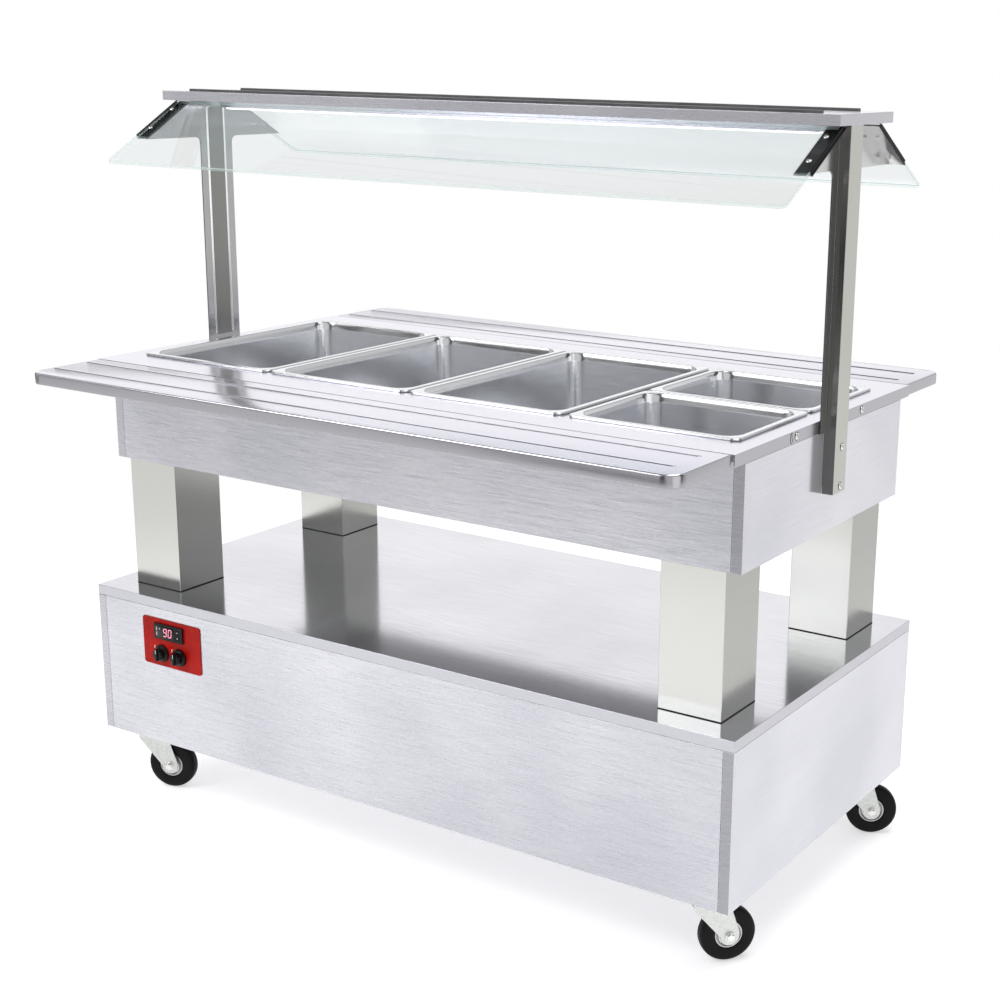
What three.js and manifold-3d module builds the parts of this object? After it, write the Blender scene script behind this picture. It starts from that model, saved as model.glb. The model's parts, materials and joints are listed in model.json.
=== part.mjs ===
// A mobile heated buffet: a wood-panelled base on four swivel casters, four square legs, a
// wood-panelled well with a stainless counter, five gastronorm pans, two folding tray slides
// and a lit canopy with two slanted glass panes.
// Units are millimetres. X runs along the length, Y to the rear, Z up. The origin is on the
// floor, in the middle of the plan.
import * as THREE from "three";
import { mergeVertices } from "three/addons/utils/BufferGeometryUtils.js";
import Module from "manifold-3d";

const wasm = await Module();
wasm.setup();

// ---- Driving dimensions ----
const GAP = 0.3;                 // clearance kept between pieces that touch
const BOARD = 20;                // thickness of the veneered boards
const SHEET = 2;                 // thickness of the folded stainless sheet

const CASTER_HEIGHT = 133;       // floor to the underside of the base
const BASE = { length: 1447, width: 722, height: 305, floor: 18 };
const LEG = { size: 120, wall: 2, height: 258, x: 609.4, y: 245.5 };
const BODY = { length: 1397, width: 618, height: 181, floor: 18 };
const COUNTER = { width: 692, rim: 21, openingX: 651, openingY: 256, corner: 16 };
const SLIDE = { half: 694, depth: 172, corner: 30, relief: 6 };
const RIB = { offsets: [38, 116], left: -686, right: 662, half: 5, rise: 1.4, top: 2 };
const HINGE = { knuckle: 4.5, bore: 2.5, pin: 2.2, edges: [-690, -414, -138, 138, 414, 690] };
const TANK = { x: 656, y: 262, wall: 1.5, bottom: 722, flange: 11, corner: 24 };
const ELEMENT = { rise: 14, run: 110, end: -600, spacing: 30, radius: 4, hole: 5 };
const PAN = { length: 530, width: 325, halfLength: 264, depth: 150, rim: 4, sheet: 1.5 };
const PAN_X = [-498.5, -168.5, 161.5, 498.5];
const HALF_PAN_Y = 133;
const GRID = { bars: [[-333.5, 9], [-3.5, 9], [330, 12]], deep: 14, foot: 8, frame: 4, reach: 342 };
const POST = { width: 48, depth: 21.7, wall: 2, bottom: 768 };
const BRACKET = { thick: 2.5, stem: 44, fillet: 14, headHalf: 188, headBottom: 1309, foot: 2 };
const WING = { width: 30, start: 4, end: 140 };
const TAB = { reach: 30, half: 55 };
const CANOPY = { length: 1474, width: 210, thick: 18, top: 1400 };
const GLASS = { half: 728, thick: 6, tilt: 30, below: 90, above: 133, corner: 12, upperCorner: 3 };
const LED = { half: 660, top: 30, bottom: 22, height: 14 };
const PLATE = { x: -521.5, z: 348.5, width: 155, height: 98, thick: 1.5, corner: 6, margin: 9.5 };
const DISPLAY = { x: -526.5, z: 373, width: 77, height: 32, bodyX: 70.4, bodyZ: 28.4, bezel: 4, deep: 55 };
const KEY = { x: 26, z: { up: 6, down: -6 }, halfX: 4.6, halfZ: 3.1, slack: 0.4, proud: 0.4, sunk: 2 };
const KNOB = { xs: [-548, -501], z: 327, skirt: 17.5, grip: 12.5, bar: 3.5, high: 19, shaft: 3, hole: 5 };
const SWITCH = { around: 22, half: 15, deep: 50, socket: 14 };
const CASTER = { x: 650, y: 300.5, trail: 38, wheel: 50, tread: 13, hub: 24.5, axle: 5, leg: 16, sheet: 3 };
const FORK = { drop: 14, back: -27, front: 30, shoulder: 13, eye: 17, bolt: 6 };
const PEDAL = { x: 22, drop: 23, hub: 5.2, rod: 2.5 };
const CASTER_TURN = { front_left: 20, front_right: 48, rear_right: 29, rear_left: 20 };
const BRAKED = ["front_left", "rear_left"];
const DRAIN = {
  x: 450, y: 150, bore: 8, pipe: 11.7, valve: 16, spout: 12, stemZ: 672, stem: 4,
  levels: { bottom: 640, spout: 655, body: 658, bodyTop: 688, pipe: 690 },
};
const LEVER = { reach: 62, half: 5, hub: 8, thick: 3, boss: 5 };
const INLET = { x: 550, z: 230, flange: 32, thick: 3, corner: 6, shroud: 24, wall: 4, reach: 18, deep: 30 };

// ---- Levels and faces worked out from them ----
const baseTop = CASTER_HEIGHT + BASE.height;
const legTop = baseTop + LEG.height;
const bodyTop = legTop + BODY.height;
const counterTop = bodyTop + COUNTER.rim;
const canopyBottom = CANOPY.top - CANOPY.thick;
const baseX = BASE.length / 2;
const baseY = BASE.width / 2;
const endX = BODY.length / 2;
const bodyY = BODY.width / 2;
const seamY = COUNTER.width / 2;
const hingeY = seamY + GAP;
const hingeZ = bodyTop + HINGE.knuckle;
const skirtBottom = hingeZ + HINGE.knuckle + GAP;
const postInner = endX + GAP;
const plateOuter = postInner + BRACKET.thick;
const underCanopy = canopyBottom - GAP;
const slope = THREE.MathUtils.degToRad(GLASS.tilt);

// ---- Materials ----
function material(color, roughness, metalness) {
  return new THREE.MeshStandardMaterial({ color, roughness, metalness });
}

const finishes = {
  lacquer: material(0xcfcfd6, 0.35, 0.2),
  steel: material(0xd8d6de, 0.25, 1),
  legSteel: material(0xc8cac0, 0.35, 1),
  darkSteel: material(0x8d8d86, 0.35, 1),
  panSteel: material(0xb9bcc0, 0.25, 1),
  zinc: material(0xb4b7b0, 0.4, 0.9),
  rubber: material(0x16161a, 0.6, 0),
  black: material(0x101012, 0.4, 0),
  red: material(0x9e1808, 0.4, 0.1),
  led: material(0xf4f6ff, 0.4, 0),
  brass: material(0xb08d57, 0.35, 1),
};

finishes.glass = material(0xd9f2ee, 0.05, 0);
finishes.glass.transparent = true;
finishes.glass.opacity = 0.3;

// ---- Solids ----
function bare(geometry) {
  const copy = geometry.clone();
  copy.deleteAttribute("normal");
  copy.deleteAttribute("uv");
  return mergeVertices(copy, 1e-4);
}

function toSolid(geometry) {
  const merged = bare(geometry);
  const vertProperties = new Float32Array(merged.attributes.position.array);
  const triVerts = new Uint32Array(merged.index.array);
  return new wasm.Manifold(new wasm.Mesh({ numProp: 3, vertProperties, triVerts }));
}

function fromSolid(solid) {
  const mesh = solid.getMesh();
  const geometry = new THREE.BufferGeometry();
  geometry.setAttribute("position", new THREE.BufferAttribute(mesh.vertProperties, 3));
  geometry.setIndex(new THREE.BufferAttribute(mesh.triVerts, 1));
  return geometry;
}

function join(...geometries) {
  return fromSolid(geometries.map(toSolid).reduce((all, next) => all.add(next)));
}

function cut(geometry, ...tools) {
  return fromSolid(tools.map(toSolid).reduce((all, next) => all.subtract(next), toSolid(geometry)));
}

function block(x0, x1, y0, y1, z0, z1) {
  const box = new THREE.BoxGeometry(x1 - x0, y1 - y0, z1 - z0);
  return box.translate((x0 + x1) / 2, (y0 + y1) / 2, (z0 + z1) / 2);
}

function rodX(radius, x0, x1, y, z, sides = 12) {
  const rod = new THREE.CylinderGeometry(radius, radius, x1 - x0, sides);
  return rod.rotateZ(Math.PI / 2).translate((x0 + x1) / 2, y, z);
}

function rodY(radius, y0, y1, x, z, sides = 16) {
  const rod = new THREE.CylinderGeometry(radius, radius, y1 - y0, sides);
  return rod.translate(x, (y0 + y1) / 2, z);
}

function rodZ(radius, z0, z1, x, y, sides = 16) {
  const rod = new THREE.CylinderGeometry(radius, radius, z1 - z0, sides);
  return rod.rotateX(Math.PI / 2).translate(x, y, (z0 + z1) / 2);
}

// A rectangle with round corners, as a Shape in its own X and Y.
function roundedShape(x0, x1, y0, y1, radii) {
  const [sw, se, ne, nw] = radii;
  const shape = new THREE.Shape();
  shape.moveTo(x0 + sw, y0);
  shape.lineTo(x1 - se, y0);
  if (se > 0) shape.absarc(x1 - se, y0 + se, se, -Math.PI / 2, 0);
  shape.lineTo(x1, y1 - ne);
  if (ne > 0) shape.absarc(x1 - ne, y1 - ne, ne, 0, Math.PI / 2);
  shape.lineTo(x0 + nw, y1);
  if (nw > 0) shape.absarc(x0 + nw, y1 - nw, nw, Math.PI / 2, Math.PI);
  shape.lineTo(x0, y0 + sw);
  if (sw > 0) shape.absarc(x0 + sw, y0 + sw, sw, Math.PI, 1.5 * Math.PI);
  return shape;
}

function slab(shape, depth, curveSegments = 5) {
  return new THREE.ExtrudeGeometry(shape, { depth, bevelEnabled: false, curveSegments });
}

// A plate whose outline is drawn in X and Z, standing with its back on the plane y = back.
function uprightSlab(shape, depth, back, curveSegments = 5) {
  return slab(shape, depth, curveSegments).rotateX(Math.PI / 2).translate(0, back, 0);
}

// A plate whose outline is drawn in Y and Z, filling x0 to x1.
function endSlab(shape, x0, x1, curveSegments = 5) {
  const plate = slab(shape, x1 - x0, curveSegments);
  return plate.rotateX(Math.PI / 2).rotateZ(Math.PI / 2).translate(x0, 0, 0);
}

function cornerPoints(halfX, halfY, radius, steps) {
  const points = [];
  for (let corner = 0; corner < 4; corner += 1) {
    const signX = corner === 0 || corner === 3 ? 1 : -1;
    const signY = corner < 2 ? 1 : -1;
    for (let step = 0; step <= steps; step += 1) {
      const angle = (corner + step / steps) * Math.PI / 2;
      points.push([
        signX * (halfX - radius) + radius * Math.cos(angle),
        signY * (halfY - radius) + radius * Math.sin(angle),
      ]);
    }
  }
  return points;
}

// A closed skin through round-cornered rectangles, each { z, x, y, r }, capped at both ends.
// Rings that go up on the outside and down on the inside make a pressed vessel.
function vessel(rings, steps = 4) {
  const outlines = rings.map((ring) => cornerPoints(ring.x, ring.y, ring.r, steps));
  const count = outlines[0].length;
  const positions = outlines.flatMap((outline, i) => outline.flatMap(([x, y]) => [x, y, rings[i].z]));
  const index = [];
  for (let ring = 0; ring + 1 < rings.length; ring += 1) {
    for (let j = 0; j < count; j += 1) {
      const a = ring * count + j;
      const b = ring * count + (j + 1) % count;
      index.push(a, b, b + count, a, b + count, a + count);
    }
  }
  const last = (rings.length - 1) * count;
  for (let j = 1; j + 1 < count; j += 1) {
    index.push(0, j + 1, j);
    index.push(last, last + j, last + j + 1);
  }
  const geometry = new THREE.BufferGeometry();
  geometry.setAttribute("position", new THREE.Float32BufferAttribute(positions, 3));
  geometry.setIndex(index);
  return geometry;
}

// ---- The assembly ----
const table = new THREE.Group();
table.name = "steam_table";

function piece(name, geometry, finish, parent = table) {
  const mesh = new THREE.Mesh(geometry, finish.clone());
  mesh.name = name;
  parent.add(mesh);
  return mesh;
}

const SIDES = [["left", -1], ["right", 1]];
const FACES = [["front", -1], ["rear", 1]];

// Both ends of a span that lies on the given side of the middle.
function span(side, near, far) {
  return side > 0 ? [near, far] : [-far, -near];
}

function addBase() {
  const wallTop = baseTop - BOARD - GAP;
  const insideX = baseX - BOARD - GAP;
  const insideY = baseY - BOARD - GAP;
  piece("base_top", block(-baseX, baseX, -baseY, baseY, baseTop - BOARD, baseTop), finishes.lacquer);
  for (const [name, side] of SIDES) {
    const [x0, x1] = span(side, baseX - BOARD, baseX);
    piece(`base_${name}_panel`, block(x0, x1, -baseY, baseY, CASTER_HEIGHT, wallTop), finishes.lacquer);
  }
  const front = block(-insideX, insideX, -baseY, -baseY + BOARD, CASTER_HEIGHT, wallTop);
  const halfX = PLATE.width / 2 - PLATE.margin;
  const halfZ = PLATE.height / 2 - PLATE.margin;
  const window = block(-halfX, halfX, -baseY - 1, -baseY + BOARD + 1, -halfZ, halfZ);
  window.translate(PLATE.x, 0, PLATE.z);
  piece("base_front_panel", cut(front, window), finishes.lacquer);
  const rear = block(-insideX, insideX, baseY - BOARD, baseY, CASTER_HEIGHT, wallTop);
  const inletHole = rodY(INLET.shroud + 1, baseY - BOARD - 1, baseY + 1, INLET.x, INLET.z, 20);
  piece("base_rear_panel", cut(rear, inletHole), finishes.lacquer);
  const floorTop = CASTER_HEIGHT + BASE.floor;
  const floor = block(-insideX, insideX, -insideY, insideY, CASTER_HEIGHT, floorTop);
  piece("base_floor", floor, finishes.lacquer);
}

function addLegs() {
  const half = LEG.size / 2;
  const inner = half - LEG.wall;
  for (const [endName, sideX] of SIDES) {
    for (const [faceName, sideY] of FACES) {
      const tube = block(-half, half, -half, half, baseTop + GAP, legTop - GAP);
      const hollow = block(-inner, inner, -inner, inner, baseTop - 1, legTop + 1);
      const leg = piece(`leg_${faceName}_${endName}`, cut(tube, hollow), finishes.legSteel);
      leg.position.set(sideX * LEG.x, sideY * LEG.y, 0);
    }
  }
}

function addBody() {
  const panelTop = counterTop - SHEET - GAP;
  const insideX = endX - BOARD - GAP;
  const insideY = bodyY - BOARD - GAP;
  for (const [name, side] of SIDES) {
    const [x0, x1] = span(side, endX - BOARD, endX);
    const [tongue0, tongue1] = span(side, endX - BOARD, endX - SHEET - GAP);
    const lower = block(x0, x1, -bodyY, bodyY, legTop, bodyTop - GAP);
    const tongue = block(tongue0, tongue1, -bodyY, bodyY, bodyTop - BOARD, panelTop);
    piece(`body_${name}_panel`, join(lower, tongue), finishes.lacquer);
  }
  for (const [name, side] of FACES) {
    const [y0, y1] = span(side, bodyY - BOARD, bodyY);
    piece(`body_${name}_panel`, block(-insideX, insideX, y0, y1, legTop, panelTop), finishes.lacquer);
  }
  const floor = block(-insideX, insideX, -insideY, insideY, legTop, legTop + BODY.floor);
  const drainHole = rodZ(DRAIN.valve + 2, legTop - 1, legTop + BODY.floor + 1, DRAIN.x, DRAIN.y);
  piece("body_floor", cut(floor, drainHole), finishes.lacquer);
}

// Hinge knuckles on the seam: even ones belong to the counter, odd ones to the tray slide.
function knuckles(side, parity, webY0, webY1, webTop) {
  const solids = [];
  const axisY = side * hingeY;
  for (let i = parity; i + 1 < HINGE.edges.length; i += 2) {
    const x0 = HINGE.edges[i] + GAP;
    const x1 = HINGE.edges[i + 1] - GAP;
    const barrel = rodX(HINGE.knuckle, x0, x1, axisY, hingeZ);
    const web = block(x0, x1, webY0, webY1, hingeZ, webTop);
    const bore = rodX(HINGE.bore, x0 - 1, x1 + 1, axisY, hingeZ);
    solids.push(cut(join(barrel, web), bore));
  }
  return solids;
}

function addCounter() {
  const sheet = block(-endX, endX, -seamY, seamY, counterTop - SHEET, counterTop);
  const opening = slab(
    roundedShape(-COUNTER.openingX, COUNTER.openingX, -COUNTER.openingY, COUNTER.openingY,
      Array(4).fill(COUNTER.corner)),
    SHEET + 2,
  ).translate(0, 0, counterTop - SHEET - 1);
  const skirts = [];
  for (const [, side] of SIDES) {
    const [x0, x1] = span(side, endX - SHEET, endX);
    skirts.push(block(x0, x1, -seamY, seamY, bodyTop, counterTop - SHEET));
  }
  for (const [, side] of FACES) {
    const [y0, y1] = span(side, seamY - SHEET, seamY);
    skirts.push(block(-endX + SHEET, endX - SHEET, y0, y1, skirtBottom, counterTop - SHEET));
    skirts.push(...knuckles(side, 0, y0, y1, skirtBottom + 1));
  }
  piece("counter_top", cut(join(sheet, ...skirts), opening), finishes.steel);
}

function addSlides() {
  for (const [name, side] of FACES) {
    const inner = hingeY + GAP;
    const outer = inner + SLIDE.depth;
    const radii = [SLIDE.corner, SLIDE.corner, 0, 0];
    const outline = roundedShape(-SLIDE.half, SLIDE.half, -outer, -inner, radii);
    const hollowRadii = [SLIDE.corner - SHEET, SLIDE.corner - SHEET, 0, 0];
    const hollowX = SLIDE.half - SHEET;
    const hollow = roundedShape(-hollowX, hollowX, -outer + SHEET, -inner - SHEET, hollowRadii);
    const tray = slab(outline, COUNTER.rim).translate(0, 0, bodyTop);
    const pocket = slab(hollow, COUNTER.rim).translate(0, 0, bodyTop - SHEET);
    const relief = block(-endX, endX, -inner - SLIDE.relief, -inner + 1, bodyTop - 1, skirtBottom);
    const shell = cut(tray, pocket, relief);
    const ribs = RIB.offsets.map((offset) => rib(-inner - offset));
    const hinge = knuckles(-1, 1, -inner - SHEET, -inner, skirtBottom + 1);
    const slide = join(shell, ...ribs, ...hinge);
    const turned = side > 0 ? mirrorY(slide) : slide;
    piece(`tray_slide_${name}`, turned, finishes.steel);
    const pin = rodX(HINGE.pin, HINGE.edges[0], HINGE.edges.at(-1), side * hingeY, hingeZ);
    piece(`slide_hinge_pin_${name}`, pin, finishes.darkSteel);
  }
}

// A pressed rail on the tray slide, with sloping sides.
function rib(y) {
  const middle = (RIB.left + RIB.right) / 2;
  const half = (RIB.right - RIB.left) / 2;
  const rings = [
    { z: counterTop - 1, x: half, y: RIB.half, r: RIB.half - 0.5 },
    { z: counterTop, x: half, y: RIB.half, r: RIB.half - 0.5 },
    { z: counterTop + RIB.rise, x: half - RIB.half + RIB.top, y: RIB.top, r: RIB.top - 0.5 },
  ];
  return vessel(rings, 3).translate(middle, y, 0);
}

function mirrorY(geometry) {
  const copy = geometry.clone();
  copy.scale(1, -1, 1);
  const index = Array.from(copy.index.array);
  for (let i = 0; i < index.length; i += 3) {
    [index[i + 1], index[i + 2]] = [index[i + 2], index[i + 1]];
  }
  copy.setIndex(index);
  return copy;
}

function addTank() {
  const flangeTop = counterTop - SHEET - GAP;
  const outerX = TANK.x + TANK.wall;
  const outerY = TANK.y + TANK.wall;
  const rings = [
    { z: TANK.bottom, x: outerX, y: outerY, r: TANK.corner },
    { z: flangeTop - TANK.wall, x: outerX, y: outerY, r: TANK.corner },
    { z: flangeTop - TANK.wall, x: outerX + TANK.flange, y: outerY + TANK.flange, r: TANK.corner },
    { z: flangeTop, x: outerX + TANK.flange, y: outerY + TANK.flange, r: TANK.corner },
    { z: flangeTop, x: TANK.x, y: TANK.y, r: TANK.corner - TANK.wall },
    { z: TANK.bottom + TANK.wall, x: TANK.x, y: TANK.y, r: TANK.corner - TANK.wall },
  ];
  const drainHole = rodZ(DRAIN.pipe + GAP, TANK.bottom - 1, TANK.bottom + 3, DRAIN.x, DRAIN.y);
  const terminals = [-1, 1].map((side) => (
    rodZ(ELEMENT.hole, TANK.bottom - 1, TANK.bottom + 3, ELEMENT.end, side * ELEMENT.spacing, 8)
  ));
  piece("water_tank", cut(vessel(rings), drainHole, ...terminals), finishes.panSteel);
}

// A smooth curve that is stepped evenly from knot to knot, so that short bends get their steps.
class KnotCurve extends THREE.CatmullRomCurve3 {
  getPointAt(u, target) {
    return this.getPoint(u, target);
  }

  getTangentAt(u, target) {
    return this.getTangent(u, target);
  }
}

function addHeatingElement() {
  const { rise, run, end, spacing, radius } = ELEMENT;
  const level = TANK.bottom + rise;
  const half = [
    [end, spacing, level - 18], [end, spacing, level - 9], [end + 4, spacing + 6, level - 1.5],
    [end + 20, spacing + 26, level], [end + 50, run - 8, level], [end + 100, run, level],
    [0, run, level], [440, run, level], [520, run * 0.8, level],
  ];
  const mirrored = half.map(([x, y, z]) => [x, -y, z]);
  const route = [...mirrored, [560, 0, level], ...half.toReversed()];
  const path = new KnotCurve(route.map((point) => new THREE.Vector3(...point)), false, "centripetal");
  const section = new THREE.Shape();
  section.absarc(0, 0, radius, 0, 2 * Math.PI);
  const tube = new THREE.ExtrudeGeometry(section, { steps: 54, extrudePath: path, curveSegments: 3 });
  piece("heating_element", tube, finishes.darkSteel);
}

function addDrain() {
  const top = TANK.bottom + TANK.wall;
  const { bore: passage, spout, valve: body, pipe, stem: spindle, levels } = DRAIN;
  const profile = [
    [passage, levels.bottom], [spout, levels.bottom], [spout, levels.spout], [body, levels.body],
    [body, levels.bodyTop], [pipe, levels.pipe], [pipe, top], [passage, top], [passage, levels.bottom],
  ].map(([r, z]) => new THREE.Vector2(r, z));
  const valve = new THREE.LatheGeometry(profile, 16).rotateX(Math.PI / 2).translate(DRAIN.x, DRAIN.y, 0);
  const stem = rodY(spindle, DRAIN.y + spout, DRAIN.y + 30, DRAIN.x, DRAIN.stemZ, 12);
  piece("drain_valve", join(valve, stem), finishes.brass);
  const hubStart = DRAIN.y + 20;
  const hub = rodY(LEVER.hub, hubStart, hubStart + LEVER.boss, 0, 0, 16);
  const arm = block(0, LEVER.reach, hubStart, hubStart + LEVER.thick, -LEVER.half, LEVER.half);
  const bore = rodY(spindle + GAP, hubStart - 1, hubStart + LEVER.boss + 1, 0, 0, 12);
  const lever = cut(join(hub, arm), bore).translate(DRAIN.x, 0, DRAIN.stemZ);
  piece("drain_lever", lever, finishes.red);
}

// Cross bars in the counter's opening that carry the pans' inner edges.
function addPanGrid() {
  const top = counterTop - GAP;
  const low = top - GRID.deep;
  const reach = COUNTER.openingY - GAP;
  const railY = TANK.y - 0.5;
  const solids = [];
  for (const [x, half] of GRID.bars) {
    solids.push(block(x - half, x + half, -reach, reach, low, top));
    solids.push(block(x - half, x + half, -railY, railY, low, low + GRID.foot));
  }
  for (const [, side] of FACES) {
    const [y0, y1] = span(side, railY - GRID.frame, railY);
    solids.push(block(-GRID.reach, GRID.reach, y0, y1, low, low + GRID.foot));
  }
  solids.push(block(GRID.reach - 2, COUNTER.openingX - GAP, -8, 8, low, top));
  piece("pan_grid", join(...solids), finishes.panSteel);
}

function pan(length) {
  const halfX = PAN.width / 2;
  const halfY = length / 2;
  const rimTop = counterTop + PAN.rim;
  const underRim = rimTop - PAN.sheet;
  const floor = rimTop - PAN.depth;
  const ring = (z, inset, r) => ({ z, x: halfX - inset, y: halfY - inset, r });
  return vessel([
    ring(floor, 28, 22), ring(floor + 9, 19.5, 28), ring(underRim, 10.5, 34),
    ring(underRim, PAN.sheet, 14), ring(counterTop + GAP, PAN.sheet, 14),
    ring(counterTop + GAP, 0, 15), ring(rimTop, 0, 15), ring(rimTop, 12, 32.5),
    ring(floor + 10, 21, 26.5), ring(floor + PAN.sheet, 29, 21),
  ]);
}

function addPans() {
  for (let i = 0; i < 3; i += 1) {
    piece(`pan_full_${i + 1}`, pan(PAN.length), finishes.panSteel).position.x = PAN_X[i];
  }
  for (const [name, side] of FACES) {
    const half = piece(`pan_half_${name}`, pan(PAN.halfLength), finishes.panSteel);
    half.position.set(PAN_X[3], side * HALF_PAN_Y, 0);
  }
}

function addPosts() {
  for (const [name, side] of SIDES) {
    const half = POST.width / 2;
    const outer = postInner + POST.depth;
    const channel = block(postInner, outer, -half, half, POST.bottom, underCanopy);
    const inside = block(postInner - 1, outer - POST.wall, -half + POST.wall, half - POST.wall,
      POST.bottom - 1, underCanopy + 1);
    const notch = block(postInner - 1, plateOuter + GAP, -half - 1, half + 1,
      bodyTop - BRACKET.foot - GAP, underCanopy + 1);
    const post = piece(`guard_post_${name}`, cut(channel, inside, notch), finishes.darkSteel);
    post.rotation.z = side > 0 ? 0 : Math.PI;
  }
}

// The bracket's flat outline: a stem behind the post and a head that carries both panes.
function bracketOutline() {
  const { stem, fillet, headHalf, headBottom } = BRACKET;
  const topHalf = headHalf - (underCanopy - headBottom) / Math.tan(slope);
  const shape = new THREE.Shape();
  shape.moveTo(-stem, bodyTop - BRACKET.foot);
  shape.lineTo(stem, bodyTop - BRACKET.foot);
  shape.lineTo(stem, headBottom - fillet);
  shape.absarc(stem + fillet, headBottom - fillet, fillet, Math.PI, Math.PI / 2, true);
  shape.lineTo(headHalf, headBottom);
  shape.lineTo(topHalf, underCanopy);
  shape.lineTo(-topHalf, underCanopy);
  shape.lineTo(-headHalf, headBottom);
  shape.lineTo(-stem - fillet, headBottom);
  shape.absarc(-stem - fillet, headBottom - fillet, fillet, Math.PI / 2, 0, true);
  return shape;
}

// A strip bent off the head's sloping edge, on which a pane rests.
function wingOutline(side) {
  const along = [side * -Math.cos(slope), Math.sin(slope)];
  const inward = [side * -Math.sin(slope), -Math.cos(slope)];
  const at = (distance, depth) => new THREE.Vector2(
    side * BRACKET.headHalf + along[0] * distance + inward[0] * depth,
    BRACKET.headBottom + along[1] * distance + inward[1] * depth,
  );
  const { start, end } = WING;
  const corners = [at(start, 0), at(start, BRACKET.thick), at(end, BRACKET.thick), at(end, 0)];
  return new THREE.Shape(side > 0 ? corners.reverse() : corners);
}

function addBrackets() {
  for (const [name, side] of SIDES) {
    const web = endSlab(bracketOutline(), postInner, plateOuter, 4);
    const wings = [-1, 1].map((wing) => endSlab(wingOutline(wing), postInner, postInner + WING.width));
    const tab = block(postInner - TAB.reach, postInner + 1, -TAB.half, TAB.half,
      underCanopy - BRACKET.thick, underCanopy);
    const bracket = piece(`guard_bracket_${name}`, join(web, ...wings, tab), finishes.legSteel);
    bracket.rotation.z = side > 0 ? 0 : Math.PI;
  }
}

function addCanopy() {
  const halfX = CANOPY.length / 2;
  const halfY = CANOPY.width / 2;
  piece("canopy_board", block(-halfX, halfX, -halfY, halfY, canopyBottom, CANOPY.top), finishes.lacquer);
  const section = new THREE.Shape([
    new THREE.Vector2(-LED.bottom, underCanopy - LED.height),
    new THREE.Vector2(LED.bottom, underCanopy - LED.height),
    new THREE.Vector2(LED.top, underCanopy),
    new THREE.Vector2(-LED.top, underCanopy),
  ]);
  piece("led_strip", endSlab(section, -LED.half, LED.half), finishes.led);
}

function addGlass() {
  for (const [name, side] of FACES) {
    const radii = [GLASS.corner, GLASS.corner, GLASS.upperCorner, GLASS.upperCorner];
    const outline = roundedShape(-GLASS.half, GLASS.half, -GLASS.below, GLASS.above, radii);
    const turned = new THREE.Group();
    turned.rotation.z = side > 0 ? Math.PI : 0;
    table.add(turned);
    const sheet = slab(outline, GLASS.thick).translate(0, 0, GAP);
    const pane = piece(`glass_${name}`, sheet, finishes.glass, turned);
    pane.position.set(0, -BRACKET.headHalf, BRACKET.headBottom);
    pane.rotation.x = slope;
  }
}

function addControls() {
  const face = -baseY - GAP;
  const front = face - PLATE.thick;
  const radii = Array(4).fill(PLATE.corner);
  const outline = roundedShape(PLATE.x - PLATE.width / 2, PLATE.x + PLATE.width / 2,
    PLATE.z - PLATE.height / 2, PLATE.z + PLATE.height / 2, radii);
  const holeX = DISPLAY.bodyX / 2 + GAP;
  const holeZ = DISPLAY.bodyZ / 2 + GAP;
  const hole = block(-holeX, holeX, front - 1, face + 1, -holeZ, holeZ).translate(DISPLAY.x, 0, DISPLAY.z);
  const tools = [hole, ...KNOB.xs.map((x) => rodY(KNOB.hole, front - 1, face + 1, x, KNOB.z))];
  piece("control_plate", cut(uprightSlab(outline, PLATE.thick, face), ...tools), finishes.red);
  addThermostat(front - GAP);
  addKnobs(front - GAP);
  const [left, right] = [KNOB.xs[0] - SWITCH.around, KNOB.xs[1] + SWITCH.around];
  const housing = block(left, right, face + GAP, face + SWITCH.deep,
    KNOB.z - SWITCH.half, KNOB.z + SWITCH.half);
  const sockets = KNOB.xs.map((x) => rodY(KNOB.shaft + GAP, face - 1, face + SWITCH.socket, x, KNOB.z));
  piece("switch_block", cut(housing, ...sockets), finishes.black);
}

function addThermostat(seat) {
  const halfX = DISPLAY.width / 2;
  const halfZ = DISPLAY.height / 2;
  const front = seat - DISPLAY.bezel;
  const bezel = block(-halfX, halfX, front, seat, -halfZ, halfZ);
  const [bodyX, bodyZ] = [DISPLAY.bodyX / 2, DISPLAY.bodyZ / 2];
  const body = block(-bodyX, bodyX, seat - 1, seat + DISPLAY.deep, -bodyZ, bodyZ);
  const keyBlock = (z, slack, y0, y1) => {
    const [x, height] = [KEY.halfX + slack, KEY.halfZ + slack];
    return block(KEY.x - x, KEY.x + x, y0, y1, z - height, z + height);
  };
  const pockets = Object.values(KEY.z).map((z) => keyBlock(z, KEY.slack, front - 1, front + KEY.sunk + 1));
  const shell = cut(join(bezel, body), ...pockets).translate(DISPLAY.x, 0, DISPLAY.z);
  piece("thermostat", shell, finishes.black);
  for (const [name, z] of Object.entries(KEY.z)) {
    const key = keyBlock(z, 0, front - KEY.proud, front + KEY.sunk);
    piece(`thermostat_key_${name}`, key.translate(DISPLAY.x, 0, DISPLAY.z), finishes.black);
  }
}

function addKnobs(seat) {
  ["power", "light"].forEach((name, i) => {
    const profile = [[0, 0], [KNOB.skirt, 0], [KNOB.skirt, 4], [KNOB.skirt - 3, 5.5], [KNOB.grip, 5.5],
      [KNOB.grip - 1.5, 16], [0, 16]].map(([r, y]) => new THREE.Vector2(r, y));
    const round = new THREE.LatheGeometry(profile, 24).rotateX(Math.PI);
    const grip = block(-KNOB.bar, KNOB.bar, -KNOB.high, -5, -KNOB.grip, KNOB.grip);
    const shaft = rodY(KNOB.shaft, -1, 13, 0, 0, 12);
    piece(`knob_${name}`, join(round, grip, shaft), finishes.black).position.set(KNOB.xs[i], seat, KNOB.z);
  });
}

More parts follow.
